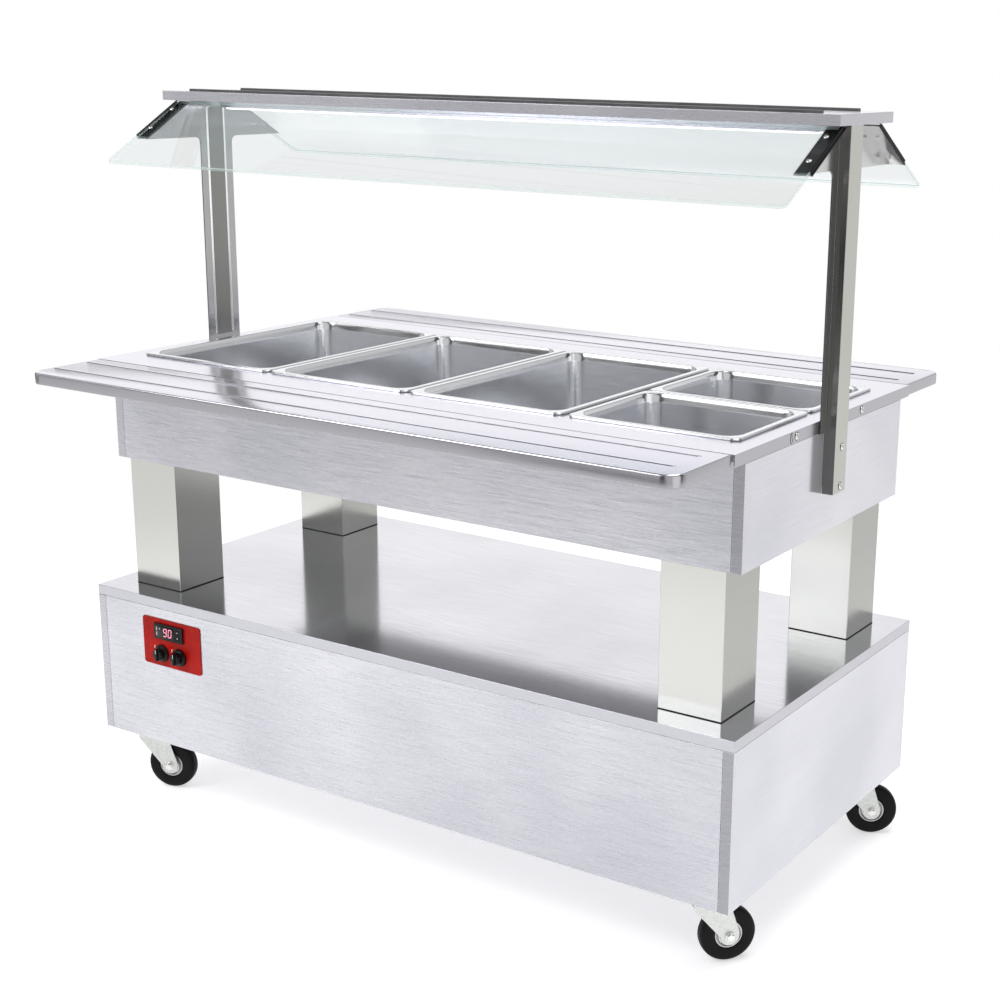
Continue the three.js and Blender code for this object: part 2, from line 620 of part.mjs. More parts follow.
function addInlet() {
  const face = baseY + GAP;
  const { flange: half, thick, shroud, wall, reach, deep, corner } = INLET;
  const flange = uprightSlab(roundedShape(-half, half, -half, half, Array(4).fill(corner)), thick, thick);
  const barrel = rodY(shroud, -deep, thick + reach, 0, 0, 20);
  const mouth = rodY(shroud - wall, 1, thick + reach + 1, 0, 0, 20);
  const inlet = cut(join(flange, barrel), mouth);
  piece("power_inlet", inlet, finishes.black).position.set(INLET.x, face, INLET.z);
}

// ---- Casters: local X points the way the wheel trails ----
function casterPlate() {
  const top = CASTER_HEIGHT - GAP;
  return join(block(-50, 50, -42, 42, top - 3, top), rodZ(27, top - 13, top - 1, 0, 0, 24));
}

function casterFork(braked) {
  const top = CASTER_HEIGHT - FORK.drop;
  const { trail, wheel, leg, sheet, axle } = CASTER;
  const side = new THREE.Shape();
  side.moveTo(FORK.back, top);
  side.lineTo(FORK.back, top - FORK.shoulder);
  side.lineTo(trail - FORK.eye, wheel);
  side.absarc(trail, wheel, FORK.eye, Math.PI, 2 * Math.PI);
  side.lineTo(trail + FORK.eye, wheel + 6);
  side.lineTo(FORK.front + 10, top - FORK.shoulder - 4);
  side.lineTo(FORK.front, top);
  const legs = [-1, 1].map((hand) => {
    const back = hand > 0 ? leg + sheet : -leg;
    return uprightSlab(side, sheet, back, 6);
  });
  const crown = block(FORK.back, FORK.front, -leg - sheet, leg + sheet, top - sheet, top);
  const bolt = rodY(axle, -leg - sheet - FORK.bolt, leg + sheet + FORK.bolt, trail, wheel, 12);
  const parts = [crown, ...legs, bolt];
  if (braked) parts.push(rodY(PEDAL.rod, -leg - 1, leg + 1, PEDAL.x, CASTER_HEIGHT - PEDAL.drop, 12));
  return join(...parts);
}

function casterWheel() {
  const { tread, axle, wheel, hub } = CASTER;
  const boss = 14.5;
  const half = [
    [axle + GAP, boss], [12, boss], [14, 10], [hub - 3, 10], [hub, tread - 0.5], [hub + 3, tread],
    [44, tread], [wheel, 7],
  ];
  const profile = [...half, ...half.toReversed().map(([r, y]) => [r, -y]), half[0]].toReversed();
  return new THREE.LatheGeometry(profile.map(([r, y]) => new THREE.Vector2(r, y)), 28);
}

function brakePedal() {
  const pivotZ = CASTER_HEIGHT - PEDAL.drop;
  const side = new THREE.Shape([
    [25, 112], [29, 115], [62, 116], [97, 107], [90, 98], [64, 105], [34, 105], [26, 106],
  ].map(([x, z]) => new THREE.Vector2(x, z)));
  const half = CASTER.leg - 1;
  const tread = uprightSlab(side, 2 * half, half);
  const hub = rodY(PEDAL.hub, -half, half, PEDAL.x, pivotZ, 16);
  const bore = rodY(PEDAL.rod + GAP, -half - 1, half + 1, PEDAL.x, pivotZ, 12);
  return cut(join(tread, hub), bore);
}

function addCasters() {
  for (const [faceName, sideY] of FACES) {
    for (const [endName, sideX] of SIDES) {
      const corner = `${faceName}_${endName}`;
      const braked = BRAKED.includes(corner);
      const plate = piece(`caster_plate_${corner}`, casterPlate(), finishes.zinc);
      plate.position.set(sideX * CASTER.x, sideY * CASTER.y, 0);
      const swivel = new THREE.Group();
      swivel.position.copy(plate.position);
      swivel.rotation.z = THREE.MathUtils.degToRad(CASTER_TURN[corner]);
      table.add(swivel);
      piece(`caster_fork_${corner}`, casterFork(braked), finishes.zinc, swivel);
      const wheel = piece(`caster_wheel_${corner}`, casterWheel(), finishes.rubber, swivel);
      wheel.position.set(CASTER.trail, 0, CASTER.wheel);
      if (braked) piece(`brake_pedal_${corner}`, brakePedal(), finishes.black, swivel);
    }
  }
}

addBase();
addLegs();
addBody();
addCounter();
addSlides();
addTank();
addHeatingElement();
addDrain();
addPanGrid();
addPans();
addPosts();
addBrackets();
addCanopy();
addGlass();
addControls();
addInlet();
addCasters();

export default table;
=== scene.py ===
"""Looks of a mobile heated buffet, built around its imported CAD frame.

Lengths of the object's pieces are in millimetres and turn into metres when a mesh is made. The
studio's are in metres. X runs along the length, Y to the rear and Z up, as in the frame. The file
goes: tools, finishes, studio, pieces by sub-assembly, and the calls that make them.
"""
import json
import math

import bmesh
import bpy
from mathutils import Matrix, Vector

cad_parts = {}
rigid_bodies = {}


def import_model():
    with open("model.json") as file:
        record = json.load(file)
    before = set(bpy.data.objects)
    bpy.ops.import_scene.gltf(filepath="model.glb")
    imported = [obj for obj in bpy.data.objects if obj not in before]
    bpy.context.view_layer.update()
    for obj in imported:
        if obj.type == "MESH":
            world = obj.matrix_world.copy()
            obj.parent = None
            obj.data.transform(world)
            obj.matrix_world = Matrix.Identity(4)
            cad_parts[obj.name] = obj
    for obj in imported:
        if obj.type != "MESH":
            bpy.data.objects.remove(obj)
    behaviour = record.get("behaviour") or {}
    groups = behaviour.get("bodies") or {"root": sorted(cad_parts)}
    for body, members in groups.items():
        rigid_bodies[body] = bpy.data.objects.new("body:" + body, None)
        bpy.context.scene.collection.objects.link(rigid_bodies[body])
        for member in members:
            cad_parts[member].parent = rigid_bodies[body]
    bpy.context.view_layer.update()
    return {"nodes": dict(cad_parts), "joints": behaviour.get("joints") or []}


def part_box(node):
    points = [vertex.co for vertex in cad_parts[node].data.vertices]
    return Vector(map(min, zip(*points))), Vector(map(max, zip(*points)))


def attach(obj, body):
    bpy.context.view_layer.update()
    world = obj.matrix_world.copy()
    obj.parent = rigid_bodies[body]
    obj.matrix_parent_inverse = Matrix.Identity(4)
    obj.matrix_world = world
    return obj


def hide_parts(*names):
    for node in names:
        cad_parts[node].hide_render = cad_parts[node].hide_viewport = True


for leftover in list(bpy.data.objects):
    bpy.data.objects.remove(leftover)
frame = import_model()

MM = 0.001
NODES = frame["nodes"]
JOINTS = {joint["name"]: joint for joint in frame["joints"]}
CORNERS = ("front_left", "front_right", "rear_left", "rear_right")
ENDS = (("left", -1), ("right", 1))
FACES = (("front", -1), ("rear", 1))


# ---- Measures taken from the frame ----
class Extent:
    """A CAD node's box, in millimetres."""

    def __init__(self, node):
        low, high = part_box(node)
        self.x0, self.y0, self.z0 = low / MM
        self.x1, self.y1, self.z1 = high / MM
        self.x, self.y, self.z = (low + high) / 2 / MM


def pivot(joint):
    """Where a joint sits, in millimetres."""
    return Vector(JOINTS[joint]["pos_m"]) / MM


def along(joint):
    """The unit vector of a joint's axis."""
    return Vector(JOINTS[joint]["axis"]).normalized()


def facing(origin, normal, upward=(0, 0, 1)):
    """A matrix whose Z is the normal and whose Y is as near to upward as it can be."""
    z = Vector(normal).normalized()
    x = Vector(upward).cross(z).normalized()
    y = z.cross(x)
    turn = Matrix((x, y, z)).transposed().to_4x4()
    return Matrix.Translation(Vector(origin)) @ turn


# ---- Meshes ----
def round_box(x0, x1, y0, y1, radii, z, steps=8):
    """Points round a rectangle with round corners, from north-east by north-west and south."""
    middles = ((x1, y1, -1, -1), (x0, y1, 1, -1), (x0, y0, 1, 1), (x1, y0, -1, 1))
    points = []
    for corner, (x, y, sign_x, sign_y) in enumerate(middles):
        radius = radii[corner]
        for step in range(steps + 1):
            angle = (corner + step / steps) * math.pi / 2
            points.append((
                x + sign_x * radius + radius * math.cos(angle),
                y + sign_y * radius + radius * math.sin(angle),
                z,
            ))
    return points


def circle(radius, z, steps=40):
    """Points round a circle. The radius may be a function of the angle."""
    points = []
    for step in range(steps):
        angle = 2 * math.pi * step / steps
        reach = radius(angle) if callable(radius) else radius
        points.append((reach * math.cos(angle), reach * math.sin(angle), z))
    return points


def hexagon(across):
    """The reach of a hexagon of that width across its flats, as a function of the angle."""
    return lambda angle: across / 2 / math.cos((angle + math.pi / 6) % (math.pi / 3) - math.pi / 6)


class Build:
    """Closed shells gathered into one mesh. A look is a finish's place in the list."""

    def __init__(self):
        self.points = []
        self.faces = []
        self.looks = []

    def loft(self, rings, look=0, place=None, loop=False):
        """A skin through rings of equal count, capped at both ends, or closed on itself."""
        start = len(self.points)
        count = len(rings[0])
        matrix = place or Matrix.Identity(4)
        self.points += [matrix @ Vector(point) for ring in rings for point in ring]
        last = len(rings) if loop else len(rings) - 1
        made = []
        for ring in range(last):
            a = start + ring * count
            b = start + (ring + 1) % len(rings) * count
            for j in range(count):
                k = (j + 1) % count
                made.append((a + j, a + k, b + k, b + j))
        if not loop:
            made.append(tuple(start + j for j in reversed(range(count))))
            made.append(tuple(start + last * count + j for j in range(count)))
        self.faces += made
        self.looks += [look] * len(made)
        return self

    def spin(self, profile, steps=40, look=0, place=None, loop=False):
        """A turned shape: radius and height pairs from one cap to the other."""
        return self.loft([circle(r, z, steps) for r, z in profile], look, place, loop)

    def slab(self, outline, z0, z1, look=0, place=None):
        """A plate with a flat outline of X and Y pairs."""
        rings = [[(x, y, z) for x, y in outline] for z in (z0, z1)]
        return self.loft(rings, look, place)

    def bar(self, x0, x1, y0, y1, z0, z1, look=0, place=None):
        return self.slab([(x0, y0), (x1, y0), (x1, y1), (x0, y1)], z0, z1, look, place)

    def finish(self, name, body, finishes, edge=0, smooth=38, slot=None, stands_for=()):
        """Makes the object, rounds its edges and lets it ride on its body."""
        mesh = bpy.data.meshes.new(name)
        mesh.from_pydata([point * MM for point in self.points], [], self.faces)
        for finish in finishes if isinstance(finishes, (list, tuple)) else [finishes]:
            mesh.materials.append(finish)
        mesh.polygons.foreach_set("material_index", self.looks)
        shape = bmesh.new()
        shape.from_mesh(mesh)
        bmesh.ops.recalc_face_normals(shape, faces=shape.faces)
        shape.to_mesh(mesh)
        shape.free()
        mesh.polygons.foreach_set("use_smooth", [True] * len(mesh.polygons))
        mesh.set_sharp_from_angle(angle=math.radians(smooth))
        piece = bpy.data.objects.new(name, mesh)
        bpy.context.scene.collection.objects.link(piece)
        if edge:
            round_edges(piece, edge, smooth)
        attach(piece, body)
        if stands_for:
            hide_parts(*stands_for)
        return piece


def round_edges(piece, width, limit=38):
    bevel = piece.modifiers.new("edge", "BEVEL")
    bevel.width = width * MM
    bevel.segments = 2
    bevel.limit_method = "ANGLE"
    bevel.angle_limit = math.radians(limit)
    bevel.harden_normals = True


def dress(node, finish, edge=0.6, limit=38):
    """Gives a CAD node its finish and rounds its sharp edges. Its own mesh keeps its shape."""
    piece = NODES[node]
    mesh = piece.data
    mesh.materials.clear()
    mesh.materials.append(finish)
    for shading in ("custom_normal", "sharp_edge", "sharp_face"):
        if shading in mesh.attributes:
            mesh.attributes.remove(mesh.attributes[shading])
    weld = piece.modifiers.new("weld", "WELD")
    weld.merge_threshold = 0.01 * MM
    flat = piece.modifiers.new("flat", "DECIMATE")
    flat.decimate_type = "DISSOLVE"
    flat.angle_limit = math.radians(1)
    round_edges(piece, edge, limit)


# ---- Finishes ----
def tone(red, green, blue):
    """A colour of 0 to 255 per channel, as the shader's linear values."""
    def linear(value):
        share = value / 255
        return share / 12.92 if share <= 0.04045 else ((share + 0.055) / 1.055) ** 2.4
    return (linear(red), linear(green), linear(blue), 1.0)


class Finish:
    """A procedural material: one Principled shader and the nodes that feed it."""

    def __init__(self, name, constants):
        self.material = bpy.data.materials.new(name)
        self.material.use_nodes = True
        self.nodes = self.material.node_tree.nodes
        self.links = self.material.node_tree.links
        self.shader = self.nodes["Principled BSDF"]
        for socket, value in constants.items():
            self.shader.inputs[socket].default_value = value

    def node(self, kind, inputs=None, **settings):
        made = self.nodes.new(kind)
        for setting, value in settings.items():
            setattr(made, setting, value)
        for socket, value in (inputs or {}).items():
            if isinstance(value, bpy.types.NodeSocket):
                self.links.new(value, made.inputs[socket])
            else:
                made.inputs[socket].default_value = value
        return made

    def place(self, scale, sway=0.0):
        """The object's own coordinates, stretched, and bent a little by a slow noise."""
        spot = self.node("ShaderNodeTexCoord").outputs["Object"]
        if sway:
            slow = self.node("ShaderNodeTexNoise", {"Vector": spot, "Scale": 3.0, "Detail": 1.0})
            centred = self.node("ShaderNodeVectorMath", {
                0: slow.outputs["Color"], 1: (0.5, 0.5, 0.5),
            }, operation="SUBTRACT")
            spot = self.node("ShaderNodeVectorMath", {
                0: centred.outputs[0], 1: (sway, sway, sway), 2: spot,
            }, operation="MULTIPLY_ADD").outputs[0]
        return self.node("ShaderNodeMapping", {"Vector": spot, "Scale": scale}).outputs["Vector"]

    def toward(self, axis, low, high, both=False):
        """How far the surface faces along an axis of the piece: 0 at low, 1 at high.

        Both makes faces that look either way along the axis count.
        """
        normal = self.node("ShaderNodeTexCoord").outputs["Normal"]
        share = self.node("ShaderNodeSeparateXYZ", {"Vector": normal}).outputs[axis]
        if both:
            share = self.node("ShaderNodeMath", {0: share}, operation="ABSOLUTE").outputs[0]
        return self.spread(share, low, high, 0, 1)

    def noise(self, spot, scale=1.0, detail=3.0, roughness=0.55):
        made = self.node("ShaderNodeTexNoise", {
            "Vector": spot, "Scale": scale, "Detail": detail, "Roughness": roughness,
        })
        return made.outputs["Fac"]

    def spread(self, value, low, high, first, second):
        """Maps low..high to first..second, and holds the ends."""
        made = self.node("ShaderNodeMapRange", {
            "Value": value, "From Min": low, "From Max": high, "To Min": first, "To Max": second,
        })
        return made.outputs["Result"]

    def blend(self, value, first, second):
        made = self.node("ShaderNodeMix", data_type="RGBA")
        self.links.new(value, made.inputs[0])
        for socket, colour in ((6, first), (7, second)):
            if isinstance(colour, bpy.types.NodeSocket):
                self.links.new(colour, made.inputs[socket])
            else:
                made.inputs[socket].default_value = colour
        return made.outputs[2]

    def feed(self, socket, output):
        self.links.new(output, self.shader.inputs[socket])
        return self

    def bump(self, height, strength, distance):
        made = self.node("ShaderNodeBump", {
            "Height": height, "Strength": strength, "Distance": distance * MM,
        })
        return self.feed("Normal", made.outputs["Normal"])


def scaled(colour, share, lift=0.0):
    """The colour times a share, with a little added, and no channel over 1."""
    return tuple(min(1.0, channel * share + lift) for channel in colour[:3]) + (1.0,)


def lacquer(name, grain, depth, rough, shade, edge=None, metal=0.7):
    """Silver lacquer over fine open-pored wood, with the grain along X or Y.

    Depth is how strongly the pores show, shade darkens it all as painted shade, and edge paints
    shade on a board's upright sides, which face away from the light above.
    """
    finish = Finish(name, {
        "Metallic": metal, "Roughness": rough[0],
        "Coat Weight": 0.35, "Coat Roughness": 0.08, "Coat IOR": 1.45,
    })
    clouds = finish.noise(finish.place((2.5, 2.5, 2.5)), detail=2)

    def along_grain(fine, coarse, **settings):
        scale = (fine, coarse, coarse) if grain == "x" else (coarse, fine, coarse)
        return finish.noise(finish.place(scale, 0.012), **settings)

    pores = along_grain(11, 400, detail=4, roughness=0.7)
    flecks = along_grain(60, 460, detail=2, roughness=0.7)
    ground = finish.blend(
        finish.spread(clouds, 0.35, 0.7, 0, 1),
        scaled(tone(228, 228, 234), shade), scaled(tone(208, 208, 216), shade),
    )
    pore = finish.spread(pores, 0.4, 0.7, 0, 0.62 * depth)
    pored = finish.blend(pore, ground, scaled(tone(160, 160, 170), shade))
    fleck = finish.spread(flecks, 0.6, 0.7, 0, 0.6 * depth)
    colour = finish.blend(fleck, pored, scaled(tone(246, 246, 250), shade))
    gloss = finish.spread(pores, 0.35, 0.7, *rough)
    # Painted shade: faces that turn away from straight up blend to a darker colour.
    if edge:
        level = finish.toward("Z", 0.35, 0.9)
        colour = finish.blend(level, scaled(tone(214, 214, 221), edge), colour)
        gloss = finish.node("ShaderNodeMath", {
            0: finish.spread(level, 0, 1, 0.2, 0), 1: gloss,
        }, operation="ADD").outputs[0]
    finish.feed("Base Color", colour)
    finish.feed("Roughness", gloss)
    return finish.bump(finish.spread(pores, 0.4, 0.7, 1, 0), 0.14 * depth, 0.1).material


def brushed(name, colour, lines, rough, deep, shade=0.95, painted_shade=None):
    """Brushed stainless, with the brush lines along X, Y or Z.

    The last argument is painted shade: a darker second colour for the faces that turn a given way,
    and the arguments of Finish.toward that say where it shows.
    """
    finish = Finish(name, {"Metallic": 1.0, "Roughness": rough[0]})
    stretch = [1 if axis == lines else 45 for axis in "xyz"]
    streaks = finish.noise(finish.place([20 * s for s in stretch]), detail=3, roughness=0.6)
    clouds = finish.noise(finish.place((5, 5, 5)), detail=2)
    dark = scaled(colour, shade)
    streaked = finish.blend(finish.spread(streaks, 0.3, 0.7, 0, 1), dark, colour)
    surface = finish.blend(finish.spread(clouds, 0.35, 0.75, 0, 0.5), streaked, dark)
    # Painted shade: the second colour on the faces that turn the given way.
    if painted_shade:
        second, *where = painted_shade
        surface = finish.blend(finish.toward(*where), surface, second)
    finish.feed("Base Color", surface)
    finish.feed("Roughness", finish.spread(streaks, 0.3, 0.7, *rough))
    return finish.bump(streaks, deep, 0.02).material


def moulded(name, colour, rough, grain, deep, coat=0.0, sheen=0.5):
    """Moulded plastic or rubber with a fine texture and a slightly uneven gloss."""
    finish = Finish(name, {
        "Roughness": rough, "Specular IOR Level": sheen,
        "Coat Weight": coat, "Coat Roughness": 0.15,
    })
    fine = finish.noise(finish.place((1, 1, 1)), grain, 2)
    slow = finish.noise(finish.place((1, 1, 1)), 28, 2)
    light = scaled(colour, 1.5, 0.004)
    finish.feed("Base Color", finish.blend(finish.spread(slow, 0.35, 0.7, 0, 1), colour, light))
    finish.feed("Roughness", finish.spread(slow, 0.3, 0.7, rough - 0.07, rough + 0.07))
    return finish.bump(fine, deep, 0.05).material


def zinc_plate(name, colour):
    """Zinc plating: small flakes of different shine."""
    finish = Finish(name, {"Metallic": 1.0, "Roughness": 0.35})
    flakes = finish.node("ShaderNodeTexVoronoi", {
        "Vector": finish.place((1, 1, 1)), "Scale": 260.0,
    })
    value = finish.node("ShaderNodeSeparateColor", {"Color": flakes.outputs["Color"]}).outputs[0]
    finish.feed("Base Color", finish.blend(value, scaled(colour, 0.82), colour))
    finish.feed("Roughness", finish.spread(value, 0, 1, 0.26, 0.44))
    return finish.bump(finish.noise(finish.place((1, 1, 1)), 400, 3), 0.1, 0.05).material


def clear_glass(name, colour):
    """Clear glass with a slight tint. Most of it is let through unbent, as a thin pane does."""
    finish = Finish(name, {
        "Transmission Weight": 1.0, "IOR": 1.5, "Roughness": 0.0, "Alpha": 0.13,
    })
    haze = finish.noise(finish.place((4, 4, 4)), detail=2)
    return finish.feed("Base Color", finish.blend(haze, scaled(colour, 0.985), colour)).material


def glowing(name, colour, strength):
    """A lit lens or digit, very slightly uneven."""
    finish = Finish(name, {"Base Color": colour, "Emission Strength": strength, "Roughness": 0.4})
    haze = finish.noise(finish.place((30, 30, 30)), detail=1)
    return finish.feed("Emission Color", finish.blend(haze, scaled(colour, 0.93), colour)).material


def ground_edge(name, colour, alpha):
    """The ground edge of a pane: matt and milky, and partly clear."""
    finish = Finish(name, {"Roughness": 0.35, "IOR": 1.5, "Alpha": alpha})
    grain = finish.noise(finish.place((1, 1, 1)), 300, 2)
    finish.feed("Base Color", finish.blend(grain, colour, scaled(colour, 1.2)))
    return finish.bump(grain, 0.1, 0.05).material


# The boards share one lacquer. The copies' shade is painted shade, lighter or darker board by board
# for the light that falls on each. The underside's copy is painted shadow, and the top's edge adds
# painted shade on its upright sides.
LACQUER_X = lacquer("silver_lacquer_long", "x", 0.42, (0.22, 0.3), 0.72)
LACQUER_BASE = lacquer("silver_lacquer_base", "x", 0.42, (0.22, 0.3), 0.86)
LACQUER_BODY = lacquer("silver_lacquer_body", "x", 0.75, (0.2, 0.3), 0.83)
LACQUER_Y = lacquer("silver_lacquer_cross", "y", 0.2, (0.13, 0.19), 0.97)
LACQUER_TOP = lacquer("silver_lacquer_top", "x", 0.4, (0.09, 0.15), 0.92, edge=0.8, metal=0.92)
LACQUER_UNDER_PAINTED_SHADOW = lacquer("silver_lacquer_under_painted_shadow", "x", 0.5, (0.4, 0.5), 0.22)
# Painted shade: the bands at the right end are darker than those at the left, for the light that
# falls on them.
EDGE_BANDS_PAINTED_SHADE = {
    "left": lacquer("board_edge_left", "x", 0.3, (0.25, 0.35), 0.72),
    "right": lacquer("board_edge_right_painted_shade", "x", 0.3, (0.25, 0.35), 0.52),
}
# Painted shade: the counter steel's faces that do not face up, the legs' faces along X, the posts'
# and brackets' front and rear faces, and the tank's underside take a darker second colour.
COUNTER = brushed("counter_steel", tone(220, 218, 228), "x", (0.15, 0.25), 0.03,
                  painted_shade=(tone(180, 179, 184), "Z", 0.9, 0.35))
LEGS = brushed("leg_steel", tone(207, 208, 203), "z", (0.18, 0.21), 0.002, 0.965,
               painted_shade=(tone(172, 173, 168), "X", 0.75, 0.95, True))
POSTS = brushed("post_steel", tone(190, 190, 184), "z", (0.1, 0.18), 0.03,
                painted_shade=(tone(108, 108, 106), "Y", 0.75, 0.95, True))
BRACKETS = brushed("bracket_steel", tone(210, 210, 210), "z", (0.16, 0.24), 0.02,
                   painted_shade=(tone(84, 84, 84), "Y", 0.75, 0.95, True))
PANS = brushed("pan_steel", tone(222, 223, 226), "x", (0.12, 0.22), 0.03)
TANK = brushed("tank_steel", tone(188, 190, 192), "x", (0.25, 0.4), 0.1,
               painted_shade=(tone(66, 66, 70), "Z", -0.5, -0.9))
ELEMENT = brushed("element_steel", tone(120, 118, 116), "x", (0.3, 0.45), 0.1)
BRASS = brushed("valve_brass", tone(196, 160, 96), "z", (0.25, 0.4), 0.1)
SCREWS = brushed("screw_steel", tone(232, 232, 230), "z", (0.12, 0.22), 0.02)
BRIGHT = brushed("bright_trim", tone(244, 244, 244), "z", (0.14, 0.2), 0.01, 0.98)
ZINC = zinc_plate("caster_zinc", tone(214, 216, 212))
HUB = brushed("wheel_hub_steel", tone(216, 217, 216), "z", (0.2, 0.35), 0.05)
RUBBER = moulded("tyre_rubber", tone(4, 4, 6), 0.5, 700.0, 0.15, sheen=0.16)
PLASTIC = moulded("black_plastic", tone(5, 5, 6), 0.34, 900.0, 0.1, sheen=0.2)
# Black rubber for the glass seals and the bands at the legs' feet, also used as painted shadow in
# the gaps round the screws and the turn-button.
SEAL_AND_GAP_SHADOW = moulded("black_seal_and_gap_shadow", tone(12, 12, 14), 0.55, 800.0, 0.1, sheen=0.2)
STRIP = moulded("dark_strip", tone(70, 70, 72), 0.4, 800.0, 0.1)
INLAY = brushed("dark_inlay", tone(162, 162, 158), "z", (0.3, 0.42), 0.06)
RED = moulded("red_plate", tone(152, 12, 2), 0.4, 500.0, 0.05, sheen=0.12)
LEVER = moulded("red_lever", tone(170, 22, 16), 0.4, 500.0, 0.1)
MARKS = moulded("white_marks", tone(240, 238, 236), 0.45, 600.0, 0.02)
WINDOW = moulded("display_window", tone(6, 5, 6), 0.22, 300.0, 0.0, coat=0.15, sheen=0.2)
GLASS = clear_glass("guard_glass", tone(200, 243, 249))
ARRIS = ground_edge("glass_arris", tone(186, 204, 200), 0.75)
GLASS_EDGE = ground_edge("glass_edge", tone(212, 232, 229), 0.3)
LENS = glowing("led_lens", tone(244, 248, 255), 2.6)
DIGITS = glowing("display_digits", tone(255, 150, 176), 1.15)


# ---- Studio, in metres ----
# Turn, tip and roll are in degrees, and lens and sensor in millimetres.
CAMERA = {
    "place": (1.8631, -2.5945, 1.4925), "turn": 31.777, "tip": 15.184, "roll": 0.872,
    "lens": 61.173, "sensor": 36, "shift": (-0.10704, 0.01044),
}
# The room's soft lights: direction, half angle in degrees to full and to nothing, brightness.
SOFT_BOXES = (
    ((-0.62, 0.78, 0.18), 17, 36, 1.15),
    ((-0.66, 0.55, 0.5), 9, 17, 0.95),
    ((0.0, 1.0, 0.1), 15, 30, 0.65),
    ((0.4, 0.91, -0.05), 11, 20, 0.95),
    ((0.74, 0.67, -0.04), 9, 18, 0.6),
    ((0.95, -0.25, 0.0), 18, 32, 1.25),
    ((0.57, -0.8, 0.3), 20, 38, 0.75),
    ((0.5, 0.8, 0.42), 16, 28, 0.75),
    ((-0.95, -0.2, 0.3), 16, 32, 0.7),
    ((-0.4, -0.82, 0.4), 9, 13, 2.4),
    ((-0.68, -0.7, -0.15), 11, 16, 0.9),
    ((-0.42, -0.9, 0.02), 4, 8, 0.8),
    ((-0.3, -0.4, 0.9), 12, 30, 0.5),
    ((0.3, -0.1, 1.0), 12, 34, 0.6),
)
# The brightness of the room where no light is.
ROOM = 0.09
# Light off the floor: the direction's height where it is full and where it is gone, brightness.
FLOOR_LIGHT = (-0.185, -0.145, 1.0)
FLOOR_RADIUS = 2.9
FLOOR_FADE = 0.9
FLOOR_DROP = 0.0005
WHITE = (1.0, 1.0, 1.0, 1.0)
# The lamps: name, place, width and depth, watts.
LAMPS = (
    ("key", (-2.2, -2.6, 3.4), (2.2, 1.6), 80),
    ("top", (1.2, 0.2, 4.2), (2.0, 2.0), 70),
)
LAMP_AIM = (0, 0, 0.7)


def make_camera():
    turn, tip, roll = (math.radians(CAMERA[key]) for key in ("turn", "tip", "roll"))
    level = Vector((-math.sin(turn), math.cos(turn), 0))
    ahead = level * math.cos(tip) - Vector((0, 0, math.sin(tip)))
    right = Vector((math.cos(turn), math.sin(turn), 0))
    up = right.cross(ahead)
    x = math.cos(roll) * right + math.sin(roll) * up
    y = math.cos(roll) * up - math.sin(roll) * right
    data = bpy.data.cameras.new("camera")
    data.lens = CAMERA["lens"]
    data.sensor_width = CAMERA["sensor"]
    data.shift_x, data.shift_y = CAMERA["shift"]
    camera = bpy.data.objects.new("camera", data)
    bpy.context.scene.collection.objects.link(camera)
    turned = Matrix((x, y, -ahead)).transposed().to_4x4()
    camera.matrix_world = Matrix.Translation(CAMERA["place"]) @ turned
    bpy.context.scene.camera = camera


def make_world():
    """A room of soft lights for reflections, and plain white where the camera looks past it."""
    world = bpy.data.worlds.new("studio")
    bpy.context.scene.world = world
    world.use_nodes = True
    nodes, links = world.node_tree.nodes, world.node_tree.links
    direction = nodes.new("ShaderNodeTexCoord").outputs["Generated"]

    def fade(value, low, high, first, second):
        made = nodes.new("ShaderNodeMapRange")
        made.interpolation_type = "SMOOTHSTEP"
        links.new(value, made.inputs["Value"])
        sockets = ("From Min", "From Max", "To Min", "To Max")
        for socket, number in zip(sockets, (low, high, first, second)):
            made.inputs[socket].default_value = number
        return made.outputs["Result"]

    def larger(first, second):
        made = nodes.new("ShaderNodeMath")
        made.operation = "MAXIMUM"
        links.new(first, made.inputs[0])
        links.new(second, made.inputs[1])
        return made.outputs[0]

    height = nodes.new("ShaderNodeSeparateXYZ")
    links.new(direction, height.inputs[0])
    full, gone, strength = FLOOR_LIGHT
    total = fade(height.outputs["Z"], full, gone, strength, ROOM)
    for towards, full, gone, strength in SOFT_BOXES:
        dot = nodes.new("ShaderNodeVectorMath")
        dot.operation = "DOT_PRODUCT"
        links.new(direction, dot.inputs[0])
        dot.inputs[1].default_value = Vector(towards).normalized()
        rim, core = (math.cos(math.radians(angle)) for angle in (gone, full))
        total = larger(total, fade(dot.outputs["Value"], rim, core, 0, strength))
    room = nodes["Background"]
    links.new(total, room.inputs["Color"])
    plain = nodes.new("ShaderNodeBackground")
    plain.inputs["Color"].default_value = WHITE
    path = nodes.new("ShaderNodeLightPath")
    seen = larger(path.outputs["Is Camera Ray"], path.outputs["Is Transmission Ray"])
    choice = nodes.new("ShaderNodeMixShader")
    links.new(seen, choice.inputs[0])
    links.new(room.outputs[0], choice.inputs[1])
    links.new(plain.outputs[0], choice.inputs[2])
    links.new(choice.outputs[0], nodes["World Output"].inputs["Surface"])


